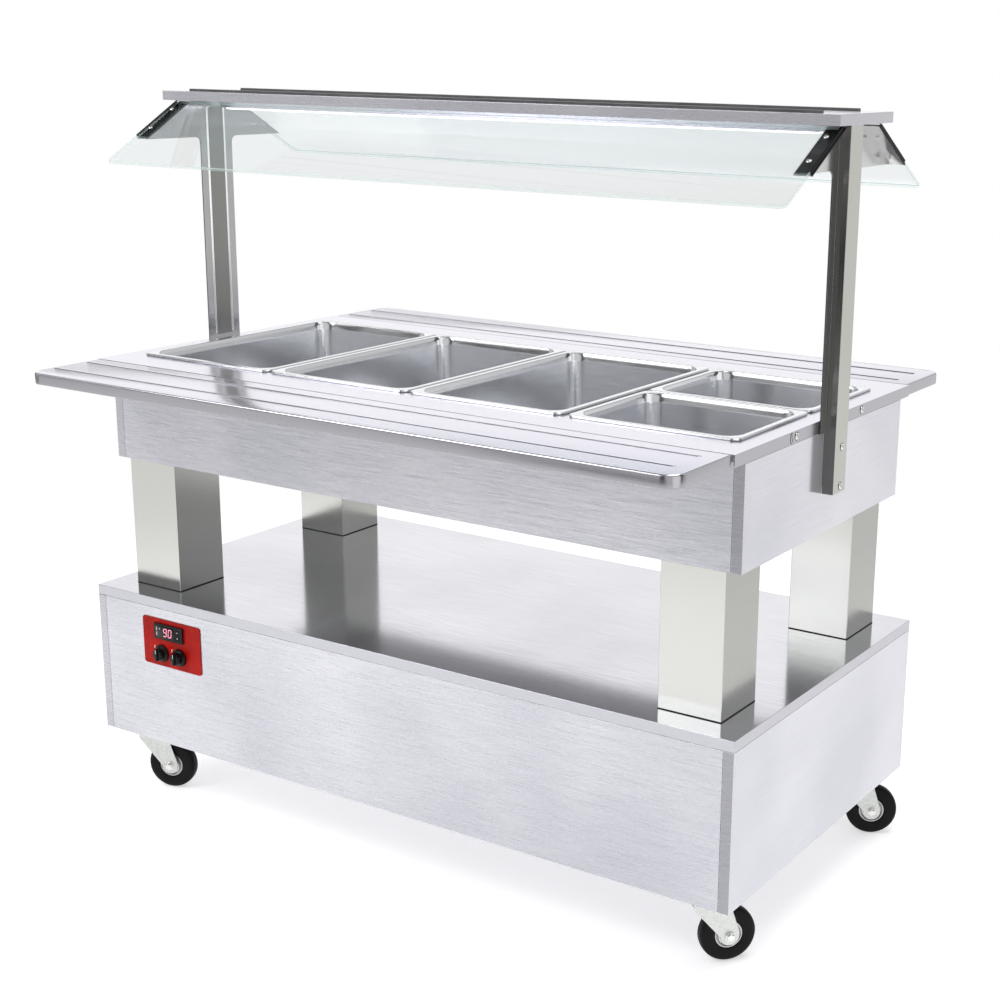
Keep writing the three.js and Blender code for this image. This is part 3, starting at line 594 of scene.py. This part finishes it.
def make_floor():
    """A round pale floor that fades out before its edge and glows a little."""
    mesh = bpy.data.meshes.new("floor")
    rim = [(x * FLOOR_RADIUS, y * FLOOR_RADIUS, -FLOOR_DROP) for x, y, _ in circle(1, 0, 96)]
    mesh.from_pydata(rim, [], [tuple(range(len(rim)))])
    finish = Finish("floor", {
        "Base Color": (0.78, 0.78, 0.79, 1.0), "Roughness": 0.75,
        "Emission Color": WHITE, "Emission Strength": 0.52,
    })
    spot = finish.node("ShaderNodeTexCoord").outputs["Object"]
    away = finish.node("ShaderNodeVectorMath", {0: spot}, operation="LENGTH").outputs["Value"]
    clear = FLOOR_RADIUS - 0.05
    finish.feed("Alpha", finish.spread(away, FLOOR_RADIUS - FLOOR_FADE, clear, 1, 0))
    mesh.materials.append(finish.material)
    floor = bpy.data.objects.new("floor", mesh)
    bpy.context.scene.collection.objects.link(floor)


def make_lamps():
    for name, place, size, power in LAMPS:
        data = bpy.data.lights.new(name, "AREA")
        data.shape = "RECTANGLE"
        data.size, data.size_y = size
        data.energy = power
        lamp = bpy.data.objects.new(name, data)
        bpy.context.scene.collection.objects.link(lamp)
        lamp.location = place
        sight = Vector(LAMP_AIM) - Vector(place)
        lamp.rotation_euler = sight.to_track_quat("-Z", "Y").to_euler()


# ---- Boards, legs and counter ----
BOARD_EDGE = 0.7
BOARD_FINISHES = {
    "base_top": LACQUER_TOP, "base_front_panel": LACQUER_BASE,
    "body_front_panel": LACQUER_BODY, "body_floor": LACQUER_UNDER_PAINTED_SHADOW,
}
BAND = 0.5
BAND_MARGIN = 0.8


def dress_boards():
    for node in NODES:
        if node.startswith(("base_", "body_")):
            plain = LACQUER_Y if node.endswith(("left_panel", "right_panel")) else LACQUER_X
            dress(node, BOARD_FINISHES.get(node, plain), BOARD_EDGE)
    dress("canopy_board", LACQUER_X, BOARD_EDGE)
    make_edge_bands()


def make_edge_bands():
    """Thin glued strips over the end boards' edges, front and rear."""
    for part in ("base", "body"):
        for end, _ in ENDS:
            build = Build()
            board = Extent(f"{part}_{end}_panel")
            top = min(board.z1, Extent("counter_top").z0) - BAND_MARGIN
            x0, x1 = board.x0 + BAND_MARGIN, board.x1 - BAND_MARGIN
            for face in (board.y0, board.y1):
                y0, y1 = sorted((face, face + math.copysign(BAND, face)))
                build.bar(x0, x1, y0, y1, board.z0 + BAND_MARGIN, top)
            build.finish(f"edge_bands_{part}_{end}", "frame", EDGE_BANDS_PAINTED_SHADE[end], edge=0.2,
                         slot="lacquer_board")


# How far the black band round a foot stands out past the leg, its corner radius, and the same for
# its inside.
LEG_FOOT_BAND = ((0.7, 2.6), (-1.4, 1.2))
LEG_FOOT_BAND_SPAN = (-0.25, 1.2)


def dress_legs():
    """Square tubes with a thin black band round each foot."""
    for corner in CORNERS:
        node = f"leg_{corner}"
        dress(node, LEGS, 2.2)
        leg = Extent(node)
        rings = []
        for (grow, radius), spans in zip(LEG_FOOT_BAND, (LEG_FOOT_BAND_SPAN, LEG_FOOT_BAND_SPAN[::-1])):
            rings += [round_box(leg.x0 - grow, leg.x1 + grow, leg.y0 - grow, leg.y1 + grow,
                                [radius] * 4, leg.z0 + rise) for rise in spans]
        foot_band = Build().loft(rings, loop=True)
        foot_band.finish(f"leg_foot_band_{corner}", "frame", SEAL_AND_GAP_SHADOW, slot="tyre_rubber")


def dress_counter():
    dress("counter_top", COUNTER, 1.1)
    dress("water_tank", TANK, 0.4)
    dress("heating_element", ELEMENT, 0.2, 60)
    dress("drain_valve", BRASS, 0.5)
    dress("drain_lever", LEVER, 0.6)
    dress("pan_grid", PANS, 0.8)
    for name, _ in FACES:
        dress(f"slide_hinge_pin_{name}", SCREWS, 0.2, 60)


# ---- Tray slides: a pressed sheet with two raised rails ----
SHEET = 2.0
SLIDE_CORNER = 30
SLIDE_INNER_CORNER = 1.4
# How far from the hinge the skirt is cut short, and the gap the sheet keeps to the hinge's line.
SLIDE_RELIEF = 6
SEAM_GAP = 0.3
# The rails' distance from the hinge, their ends, and their section as rise and half width.
RAIL_OFFSETS = (38, 116)
RAIL_ENDS = (-686, 662)
RAIL_SECTION = (
    (-0.4, 5.4), (0.02, 5.2), (0.15, 4.5), (0.5, 3.8), (0.95, 3.1), (1.28, 2.2), (1.4, 1.2),
)
# The spans of the hinge's moving barrels, their bore, and the gap at each end.
KNUCKLES = ((-414, -138), (138, 414))
KNUCKLE_BORE = 2.5
KNUCKLE_GAP = 0.3


def cross_line(ring, level):
    """The ring with two points added wherever it crosses y = level, just before and just after."""
    crossed = []
    for (x, y, z), (next_x, next_y, _) in zip(ring, ring[1:] + ring[:1]):
        crossed.append((x, y, z))
        if (y - level) * (next_y - level) < 0:
            before, after = (level - 0.1, level + 0.1) if next_y > y else (level + 0.1, level - 0.1)
            crossed += [(x, before, z), (next_x, after, z)]
    return crossed


def slide_shell(build, box, hinge_side, top, hinge_floor):
    """The sheet with its folded skirt. The skirt is shorter where it meets the hinge."""
    section = (
        # height and inset from the edge: the inside from the sheet down, then the outside up
        (top - SHEET, 4.4), (top - SHEET - 0.5, 3.0), (top - SHEET - 1.8, SHEET),
        (box.z0 + 0.4, SHEET), (box.z0, SHEET - 0.5), (box.z0, 0.5), (box.z0 + 0.5, 0),
        (top - 3.2, 0), (top - 1.6, 0.45), (top - 0.5, 1.5), (top, 3.2),
    )
    inner, outer = (box.y1, box.y0) if hinge_side > 0 else (box.y0, box.y1)
    low, high = min(inner, outer), max(inner, outer)
    step = inner - hinge_side * SLIDE_RELIEF
    rings = []
    for z, inset in section:
        wide = [SLIDE_CORNER - inset] * 2
        tight = [SLIDE_INNER_CORNER] * 2
        radii = tight + wide if hinge_side > 0 else wide + tight
        ring = round_box(box.x0 + inset, box.x1 - inset, low + inset, high - inset, radii, z, 12)
        rings.append([(x, y, max(z, hinge_floor) if abs(y - inner) < SLIDE_RELIEF else z)
                      for x, y, z in cross_line(ring, step)])
    build.loft(rings)


def slide_rail(build, y, top):
    """A narrow pressed rail that rises from the sheet in a soft curve and ends in half circles."""
    first, last = RAIL_ENDS
    build.loft([
        round_box(first + 5 - reach, last - 5 + reach, y - reach, y + reach,
                  [reach - 0.05] * 4, top + rise)
        for rise, reach in RAIL_SECTION
    ])


def make_slides():
    for name, side in FACES:
        node = f"tray_slide_{name}"
        box = Extent(node)
        hinge = pivot(f"tray_slide_fold_{name}")
        top = Extent("counter_top").z1
        radius = hinge.z - box.z0
        seam = abs(hinge.y) + SEAM_GAP
        if side < 0:
            box.y1 = -seam
        else:
            box.y0 = seam
        build = Build()
        slide_shell(build, box, -side, top, hinge.z + radius + SEAM_GAP)
        for offset in RAIL_OFFSETS:
            slide_rail(build, side * (seam + offset), top)
        for x0, x1 in KNUCKLES:
            start, end = x0 + KNUCKLE_GAP, x1 - KNUCKLE_GAP
            barrel = [(KNUCKLE_BORE, start), (radius - 0.4, start), (radius, start + 0.5),
                      (radius, end - 0.5), (radius - 0.4, end), (KNUCKLE_BORE, end)]
            build.spin(barrel, 28, 0, facing((0, hinge.y, hinge.z), (1, 0, 0)), loop=True)
            web = sorted((side * (seam + 0.2), side * (seam + SHEET - 0.2)))
            build.bar(start, end, *web, hinge.z + KNUCKLE_BORE, hinge.z + radius + 4)
        build.finish(f"tray_slide_sheet_{name}", f"slide_{name}", COUNTER, smooth=30,
                     slot="counter_steel", stands_for=[node])


# ---- Pans ----
def make_pan(node):
    """A pressed gastronorm pan: rolled rim, stacking shoulder, sloping walls, round floor edge."""
    box = Extent(node)
    rim, floor = box.z1, box.z0
    section = (
        # height, inset from the rim's edge, corner radius: the outside, from the floor up
        (floor, 36, 20), (floor + 0.8, 30, 23), (floor + 3.2, 25, 26), (floor + 8, 21.4, 29),
        (floor + 16, 19.6, 30), (rim - 22, 12.8, 34), (rim - 10, 11.6, 35), (rim - 1.8, 10.8, 35),
        # the rolled rim
        (rim - 1.6, 2.2, 14.5), (rim - 2.2, 1.4, 14.6), (rim - 3.6, 1.3, 14.6),
        (rim - 3.7, 0.5, 15), (rim - 3.2, 0.0, 15), (rim - 1.3, 0.0, 15), (rim - 0.4, 0.4, 15),
        (rim, 1.4, 15),
        # the inside, from the rim down
        (rim, 10.6, 31), (rim - 0.3, 11.6, 32), (rim - 1.2, 12.3, 33), (rim - 9, 12.9, 33),
        (rim - 13, 14.0, 32), (rim - 17, 14.4, 32), (floor + 17, 21.0, 28), (floor + 9.4, 22.8, 27),
        (floor + 4.8, 26.2, 25), (floor + 2.3, 31, 22), (floor + 1.5, 37, 19),
    )
    rings = [round_box(box.x0 + inset, box.x1 - inset, box.y0 + inset, box.y1 - inset,
                       [radius] * 4, z, 9) for z, inset, radius in section]
    Build().loft(rings).finish(f"{node}_shell", node, PANS, smooth=50, slot="pan_steel",
                               stands_for=[node])


def make_pans():
    for node in ("pan_full_1", "pan_full_2", "pan_full_3", "pan_half_front", "pan_half_rear"):
        make_pan(node)


# ---- Fasteners ----
def screw_head(build, place, radius, rise, drive="cross"):
    """A domed head with a cross or a hexagon sunk into it."""
    if drive == "cross":
        def recess(angle):
            turned = abs(math.cos(2 * angle))
            return radius * (0.16 + 0.42 * turned ** 3)
    else:
        recess = hexagon(radius * 0.95)
    profile = [
        (radius * 0.96, -0.2), (radius, 0.15), (radius, rise * 0.35), (radius * 0.92, rise * 0.66),
        (radius * 0.74, rise * 0.9), (radius * 0.6, rise),
    ]
    rings = [circle(r, z, 32) for r, z in profile]
    rings += [circle(recess, rise * 0.98, 32), circle(recess, rise * 0.3, 32)]
    build.loft(rings, 0, place)


def screw_ring(build, place, radius):
    """A black ring round a screw's countersink, as painted shadow in the gap."""
    inner, outer = radius - 0.6, radius + 0.9
    build.spin([(inner, -0.2), (outer, -0.2), (outer, 0.35), (inner, 0.35)], 32, 1, place,
               loop=True)


def hex_nut(build, place, across, low, high, crown):
    """A hexagon head or nut from low to high, with a round crown of a radius and height."""
    rings = [circle(hexagon(across), z, 36) for z in (low, high)]
    build.loft(rings + [circle(*crown, 36)], 0, place)


# ---- Sneeze guard: posts and brackets ----
# The posts' screws as Y and Z, and the counter's end screws along Y and below its top.
POST_SCREWS = ((3, 848), (3, 779.5))
RIM_SCREWS = (-130, 130)
RIM_SCREW_DROP = 10
# The slotted turn-button beside the front rim screw: Y, drop, half width, half height, radius.
BUTTON = (-149, 10.5, 2.6, 8, 2.4)


def make_post_fittings():
    """Posts, brackets, their screws, the inlays and the glass seals."""
    for end, side in ENDS:
        dress(f"guard_post_{end}", POSTS, 2.4)
        dress(f"guard_bracket_{end}", BRACKETS, 0.9)
        post = Extent(f"guard_post_{end}")
        counter = Extent("counter_top")
        outer = post.x1 if side > 0 else post.x0
        rim = counter.x1 if side > 0 else counter.x0
        screws = Build()
        spots = [((outer, y, z), 6.0) for y, z in POST_SCREWS]
        spots += [((rim, y, counter.z1 - RIM_SCREW_DROP), 6.4) for y in RIM_SCREWS]
        for spot, radius in spots:
            place = facing(spot, (side, 0, 0))
            screw_head(screws, place, radius, 2.4)
            screw_ring(screws, place, radius)
        turn_button(screws, rim, counter.z1, side)
        screws.finish(f"guard_screws_{end}", "frame", [SCREWS, SEAL_AND_GAP_SHADOW], smooth=40,
                      slot="bracket_steel")
        make_inlay(end, side)
        make_wing_fittings(end, side)


def turn_button(build, rim, top, side):
    """A slotted turn-button on the counter's end, with a black ring round it as painted shadow in
    the gap.
    """
    y, drop, half_x, half_y, radius = BUTTON
    place = facing((rim, y, top - drop), (side, 0, 0))
    for look, grow, sections in (
        (0, 0, ((-0.2, 0), (1.0, 0), (1.5, 0.6))),
        (1, 1.0, ((-0.2, 0), (0.35, 0))),
    ):
        rings = []
        for z, inset in sections:
            x, y, corner = (size - inset + grow for size in (half_x, half_y, radius))
            rings.append(round_box(-x, x, -y, y, [corner] * 4, z, 5))
        build.loft(rings, look, place)
    # The slot is a thin black bar on the button's top, as painted shadow in place of a recess.
    build.bar(-0.9, 0.9, -6.6, 6.6, 1.3, 1.62, 1, place)


# The brackets' inner faces stand this far past the counter's ends.
BRACKET_GAP = 0.3
# The cover strip's half width, span in height and gap to the bracket, a bead's half width, and a
# clip's half width and reach below and above the bead's end.
INLAY_HALF = 20
INLAY_SPAN = (903, 1368)
INLAY_GAP = 0.05
BEAD = 3.4
CLIP = (4, 2, 7)


def make_inlay(end, side):
    """The dark cover strip on the bracket's inner face, between two bright beads with clips."""
    inner_face = Extent("counter_top").x1 + BRACKET_GAP
    place = facing((side * inner_face, 0, 0), (-side, 0, 0))
    low, high = INLAY_SPAN
    build = Build()
    build.bar(-INLAY_HALF, INLAY_HALF, low, high, INLAY_GAP, 1.0, 0, place)
    ridge = ((BEAD, 0), (BEAD, 0.3), (0.3, 1.75), (-0.3, 1.75), (-BEAD, 0.3), (-BEAD, 0))
    half, below, above = CLIP
    for hand in (-1, 1):
        middle = hand * (INLAY_HALF + BEAD - 0.2)
        rings = [[(middle + x, y, INLAY_GAP + z) for x, z in ridge] for y in (low, high)]
        build.loft(rings, 1, place)
        build.loft([round_box(middle - half, middle + half, high - below, high + above,
                              [2] * 4, z, 5) for z in (INLAY_GAP, 4.2)], 1, place)
    build.finish(f"post_inlay_{end}", "frame", [INLAY, BRIGHT], smooth=12, slot="post_steel")


# ---- Sneeze guard: the brackets' wings and the panes ----
PANE_TILT = math.radians(30)
PANE_THICK = 6
PANE_CORNERS = (12, 3)
# Where a wing's slope begins, as Y and Z. Runs are measured up the slope from there.
WING_FOOT = (188, 1309)
WING_SCREWS = (32, 101)
SEAL_RUN = (4, 140)
PANE_RUN = 133


def wing_place(wing):
    """A matrix on the pane's underside: X across the wing, Y up its slope, Z out of the glass."""
    normal = Vector((0, wing * math.sin(PANE_TILT), math.cos(PANE_TILT)))
    slope = Vector((0, -wing * math.cos(PANE_TILT), math.sin(PANE_TILT)))
    cross = slope.cross(normal)
    turn = Matrix((cross, slope, normal)).transposed().to_4x4()
    y, z = WING_FOOT
    return Matrix.Translation((0, wing * y, z)) @ turn


def make_wing_fittings(end, side):
    """Rubber seals between the wings and the glass, and the screws that hold the panes."""
    plate = Extent(f"guard_bracket_{end}")
    outer = plate.x1 if side > 0 else plate.x0
    inner = side * (Extent("counter_top").x1 + BRACKET_GAP)
    seals = Build()
    screws = Build()
    for name, wing in FACES:
        place = wing_place(wing)
        flip = -wing
        pane = Extent(f"glass_{name}")
        rim = pane.x1 if side > 0 else pane.x0
        start, end_run = SEAL_RUN[0], PANE_RUN - 1
        for first, last, run, rise in (
            # under the pane, round the wing's outer edge, over the pane's end, and across its edge
            (inner, outer + side * 0.8, SEAL_RUN, (0.03, 0.27)),
            (outer + side * 0.15, outer + side * 1.6, SEAL_RUN, (-2.6, 0.27)),
            (rim - side * 3, rim + side * 0.8, (start, end_run), (6.05, 6.9)),
            (rim + side * 0.1, rim + side * 0.8, (start, end_run), (0.3, 6.9)),
        ):
            seals.bar(*sorted((flip * first, flip * last)), *run, *rise, 0, place)
        middle = flip * (inner + outer) / 2
        for run in WING_SCREWS:
            over = place @ Matrix.Translation((middle, run, PANE_THICK + 0.3))
            screw_head(screws, over, 4.6, 2.0, "hexagon")
            under = place @ Matrix.Translation((middle, run, -2.6))
            hex_nut(screws, under @ Matrix.Rotation(math.pi, 4, "X"), 7, 0, 2.4, (2.6, 3.0))
    seals.finish(f"glass_seals_{end}", "frame", SEAL_AND_GAP_SHADOW, slot="tyre_rubber")
    screws.finish(f"glass_screws_{end}", "frame", SCREWS, smooth=35, slot="bracket_steel")


# ---- Canopy ----
# The strips on the canopy: half length, half width, rise, and distance from the middle.
STRIP_LONG = 690
STRIP_HALF = 6
STRIP_RISE = 4.5
STRIP_Y = 72
# The lens under the lamp: its distance from the strip's ends and its section as drop and reach.
LENS_MARGIN = 8
LENS_SECTION = ((0.1, 19), (-0.9, 19), (-2.2, 17.5), (-3.0, 13), (-3.3, 6))


def make_canopy():
    board = Extent("canopy_board")
    for name, side in FACES:
        build = Build()
        y = side * STRIP_Y
        build.bar(-STRIP_LONG, STRIP_LONG, y - STRIP_HALF, y + STRIP_HALF,
                  board.z1 - 0.2, board.z1 + STRIP_RISE)
        build.finish(f"canopy_strip_{name}", "frame", STRIP, edge=0.8, slot="display_plastic")
    dress("led_strip", COUNTER, 0.6)
    led = Extent("led_strip")
    inset = LENS_MARGIN + LENS_SECTION[0][1]
    lens = Build().loft([
        round_box(led.x0 + inset - reach, led.x1 - inset + reach, -reach, reach,
                  [4] * 4, led.z0 + drop)
        for drop, reach in LENS_SECTION
    ])
    lens.finish("led_lens", "frame", LENS, slot="led_lens")


def make_panes():
    """Toughened panes with ground edges, round at the lower corners."""
    for name, wing in FACES:
        node = f"glass_{name}"
        box = Extent(node)
        depth = box.y1 - box.y0
        run = (depth - PANE_THICK * math.sin(PANE_TILT)) / math.cos(PANE_TILT)
        turned = wing_place(wing).to_3x3().to_4x4()
        place = Matrix.Translation((box.x, box.y, box.z)) @ turned
        half_x, half_y, half_z = (box.x1 - box.x0) / 2, run / 2, PANE_THICK / 2
        lower, upper = PANE_CORNERS
        rings = []
        for z, inset in ((-half_z, 0.9), (-half_z + 0.9, 0), (half_z - 0.9, 0), (half_z, 0.9)):
            x, y = half_x - inset, half_y - inset
            radii = [upper - inset] * 2 + [lower - inset] * 2
            rings.append(round_box(-x, x, -y, y, radii, z))
        # clear faces, with the edge in its own look between two narrow ground arrises
        count = len(rings[0])
        build = Build().loft(rings, 0, place)
        build.looks[:3 * count] = [1] * count + [2] * count + [1] * count
        build.finish(f"glass_pane_{name}", "frame", [GLASS, ARRIS, GLASS_EDGE], smooth=30,
                     slot="guard_glass", stands_for=[node])


# ---- Controls ----
# A digit's half width, the thickness of its bars, its slant, and the digits' places along X.
DIGIT_HALF = 3.9
DIGIT_BAR = 1.25
DIGIT_SLANT = 0.12
DIGIT_PLACES = (-7.5, 5.5)
SEGMENTS = {
    # where each bar of a seven-part digit lies: middle x, middle y in half widths, upright or not
    "top": (0, 2, False), "middle": (0, 0, False), "bottom": (0, -2, False),
    "upper_left": (-1, 1, True), "upper_right": (1, 1, True),
    "lower_left": (-1, -1, True), "lower_right": (1, -1, True),
}
NINE = ("top", "middle", "bottom", "upper_left", "upper_right", "lower_right")
ZERO = ("top", "bottom", "upper_left", "upper_right", "lower_left", "lower_right")


def digit(build, place, bars):
    """A seven-part digit, each bar a long hexagon."""
    long, short = DIGIT_HALF - 0.35, DIGIT_BAR / 2
    flat = [(-long, 0), (-long + short, -short), (long - short, -short), (long, 0),
            (long - short, short), (-long + short, short)]
    for name in bars:
        x, y, upright = SEGMENTS[name]
        outline = [(-b, a) for a, b in flat] if upright else flat
        raised = [(a + x * DIGIT_HALF, b + y * DIGIT_HALF) for a, b in outline]
        build.slab([(a + DIGIT_SLANT * b, b) for a, b in raised], 0, 0.25, 0, place)


# The window's ends along X and its half height, and the lit marks: X, Y and half length.
WINDOW_SIZE = (-35, 17, 12.5)
WINDOW_MARKS = ((-30, 5, 3.2), (-30, -5, 3.2), (-22, 6, 1.4))
# How far a knob rises, and its grip bar's half width, half length and corner radius.
KNOB_RISE = 19
GRIP = (3.4, 12.2, 2.6)


def make_controls():
    dress("control_plate", RED, 0.5)
    dress("thermostat", PLASTIC, 0.9)
    dress("switch_block", PLASTIC, 0.8)
    for key in ("up", "down"):
        dress(f"thermostat_key_{key}", PLASTIC, 0.5)
    unit = Extent("thermostat")
    place = facing((unit.x, unit.y0, unit.z), (0, -1, 0))
    x0, x1, half = WINDOW_SIZE
    window = Build().loft([
        round_box(x0 + inset, x1 - inset, -half + inset, half - inset, [2.4] * 4, z)
        for z, inset in ((-0.3, 0), (0.12, 0), (0.3, 0.25))
    ], 0, place)
    window.finish("display_window", "frame", WINDOW, slot="display_plastic")
    lit = Build()
    for x, bars in zip(DIGIT_PLACES, (NINE, ZERO)):
        digit(lit, place @ Matrix.Translation((x, 0, 0.32)), bars)
    lit.finish("display_digits", "frame", DIGITS, slot="led_lens")
    marks = Build()
    for x, y, long in WINDOW_MARKS:
        marks.bar(x - 0.7, x + 0.7, y - long, y + long, 0.28, 0.42, 0, place)
    for key, hand in (("up", 1), ("down", -1)):
        cap = Extent(f"thermostat_key_{key}")
        at = facing((cap.x, cap.y0, cap.z), (0, -1, 0))
        outline = [(-1.5, -hand * 0.9), (1.5, -hand * 0.9), (0, hand * 1.3)]
        arrow = Build().slab(outline, -0.1, 0.18, 0, at)
        arrow.finish(f"key_arrow_{key}", f"key_{key}", MARKS, slot="display_plastic")
    marks.finish("display_marks", "frame", MARKS, slot="display_plastic")
    make_knobs()


def make_knobs():
    """Turned knobs with a grip bar across them and a white pointer."""
    for name in ("power", "light"):
        node = f"knob_{name}"
        joint = f"knob_{name}_turn"
        box = Extent(node)
        middle = pivot(joint)
        skirt = (box.x1 - box.x0) / 2
        place = facing((middle.x, box.y0 + KNOB_RISE, middle.z), (0, -1, 0))
        build = Build()
        build.spin([
            (skirt - 0.8, 0), (skirt, 0.8), (skirt, 3.0), (skirt - 0.5, 4.0), (skirt - 2.2, 5.0),
            (skirt - 4.0, 5.4), (skirt - 4.8, 6.2), (skirt - 5.4, 14.6), (skirt - 6.0, 15.6),
            (skirt - 7.2, 16),
        ], 48, 0, place)
        half_x, half_y, radius = GRIP
        outline = round_box(-half_x, half_x, -half_y, half_y, [radius] * 4, 0)
        rings = [[(x * share, y * (1 - (1 - share) * 0.3), z) for x, y, _ in outline]
                 for z, share in ((5, 1.06), (17.6, 0.98), (18.6, 0.9), (KNOB_RISE, 0.7))]
        build.loft(rings, 0, place)
        build.bar(-0.6, 0.6, 3.4, 11.0, 18.6, KNOB_RISE + 0.08, 1, place)
        build.finish(f"{node}_cap", node, [PLASTIC, MARKS], smooth=32, slot="knob_plastic",
                     stands_for=[node])
        make_dial_marks(name, middle, skirt)


def make_dial_marks(name, middle, skirt):
    """Printed on and off marks on the plate beside a knob: a bar above, a ring below."""
    plate = Extent("control_plate")
    place = facing((middle.x - skirt - 3.5, plate.y0, middle.z), (0, -1, 0))
    marks = Build()
    marks.bar(-0.8, 0.8, 7, 12.5, -0.05, 0.12, 0, place)
    marks.spin([(1.4, -0.05), (1.4, 0.12), (2.6, 0.12), (2.6, -0.05)], 24, 0,
               place @ Matrix.Translation((1, -10, 0)), loop=True)
    marks.finish(f"dial_marks_{name}", "frame", MARKS, slot="display_plastic")


# ---- Power inlet ----
# The pins' circle and angles, how deep their feet lie, the flange's depth and its screws' spacing.
PIN_CIRCLE = 9
PIN_ANGLES = (90, 210, 330)
PIN_DEPTH = 20
FLANGE_DEPTH = 33
FLANGE_SCREW = 26


def make_inlet():
    dress("power_inlet", PLASTIC, 0.8)
    inlet = Extent("power_inlet")
    pins = Build()
    place = facing((inlet.x, 0, inlet.z), (0, 1, 0))
    for angle in map(math.radians, PIN_ANGLES):
        x, y = PIN_CIRCLE * math.cos(angle), PIN_CIRCLE * math.sin(angle)
        spot = place @ Matrix.Translation((x, y, inlet.y1 - PIN_DEPTH))
        pins.spin([(2.4, -1), (2.4, 12.5), (1.9, 13.6), (1.0, 14)], 20, 0, spot)
    pins.finish("inlet_pins", "frame", SCREWS, smooth=40, slot="valve_brass")
    screws = Build()
    flange = inlet.y0 + FLANGE_DEPTH
    for x in (-FLANGE_SCREW, FLANGE_SCREW):
        for z in (-FLANGE_SCREW, FLANGE_SCREW):
            screw_head(screws, facing((inlet.x + x, flange, inlet.z + z), (0, 1, 0)), 2.8, 1.2)
    screws.finish("inlet_screws", "frame", SCREWS, smooth=40, slot="bracket_steel")


# ---- Casters ----
def mirrored(half):
    """A wheel's section from the half on its left, as radius and distance from its middle."""
    return half + [(radius, -away) for radius, away in reversed(half) if away]


TYRE = mirrored([
    (24.2, -10.8), (26, -12.2), (30, -13), (41, -12.9), (45.2, -12.1), (48, -10.2), (49.4, -7.6),
    (49.9, -4), (50, 0),
])
HUB_SECTION = mirrored([
    (5.4, -14.4), (10.4, -14.4), (11.4, -13.9), (12, -12.6), (12.6, -9.4), (14, -8.4),
    (18.6, -8.2), (20.4, -8.8), (21.8, -11.0), (22.8, -12.0), (24.0, -12.0), (24.7, -11.0),
])
# Half the spacing of the top plate's bolts, and how far below its top their heads begin.
BOLT_SPACING = (39, 32)
PLATE_THICK = 3


def make_casters():
    for corner in CORNERS:
        dress(f"caster_plate_{corner}", ZINC, 0.6)
        dress(f"caster_fork_{corner}", ZINC, 0.8)
        spin = f"wheel_spin_{corner}"
        place = facing(pivot(spin), along(spin))
        wheel = Build().spin(TYRE, 64, 0, place, loop=True)
        wheel.spin(HUB_SECTION, 48, 1, place, loop=True)
        node = f"caster_wheel_{corner}"
        wheel.finish(f"{node}_tyred", f"wheel_{corner}", [RUBBER, HUB], smooth=40,
                     slot="tyre_rubber", stands_for=[node])
        nuts = Build()
        for hand in (-1, 1):
            spot = place @ Matrix.Rotation(0 if hand > 0 else math.pi, 4, "X")
            nuts.spin([(8.2, 19.1), (8.4, 19.4), (8.4, 20.4), (8.0, 20.7)], 32, 0, spot)
            hex_nut(nuts, spot, 13, 20.6, 25.4, (5.6, 26.4))
        nuts.finish(f"axle_nuts_{corner}", f"swivel_{corner}", SCREWS, smooth=35,
                    slot="caster_zinc")
        bolts = Build()
        plate = Extent(f"caster_plate_{corner}")
        apart_x, apart_y = BOLT_SPACING
        for x in (-apart_x, apart_x):
            for y in (-apart_y, apart_y):
                under = (plate.x + x, plate.y + y, plate.z1 - PLATE_THICK)
                hex_nut(bolts, facing(under, (0, 0, -1), (0, 1, 0)), 10, 0.02, 4.0, (4.2, 4.8))
        bolts.finish(f"plate_bolts_{corner}", "frame", SCREWS, smooth=35, slot="caster_zinc")
    for corner in ("front_left", "rear_left"):
        dress(f"brake_pedal_{corner}", PLASTIC, 1.0)


make_camera()
make_world()
make_floor()
make_lamps()
dress_boards()
dress_legs()
dress_counter()
make_slides()
make_pans()
make_post_fittings()
make_canopy()
make_panes()
make_controls()
make_inlet()
make_casters()
bpy.context.scene.view_settings.view_transform = "Standard"
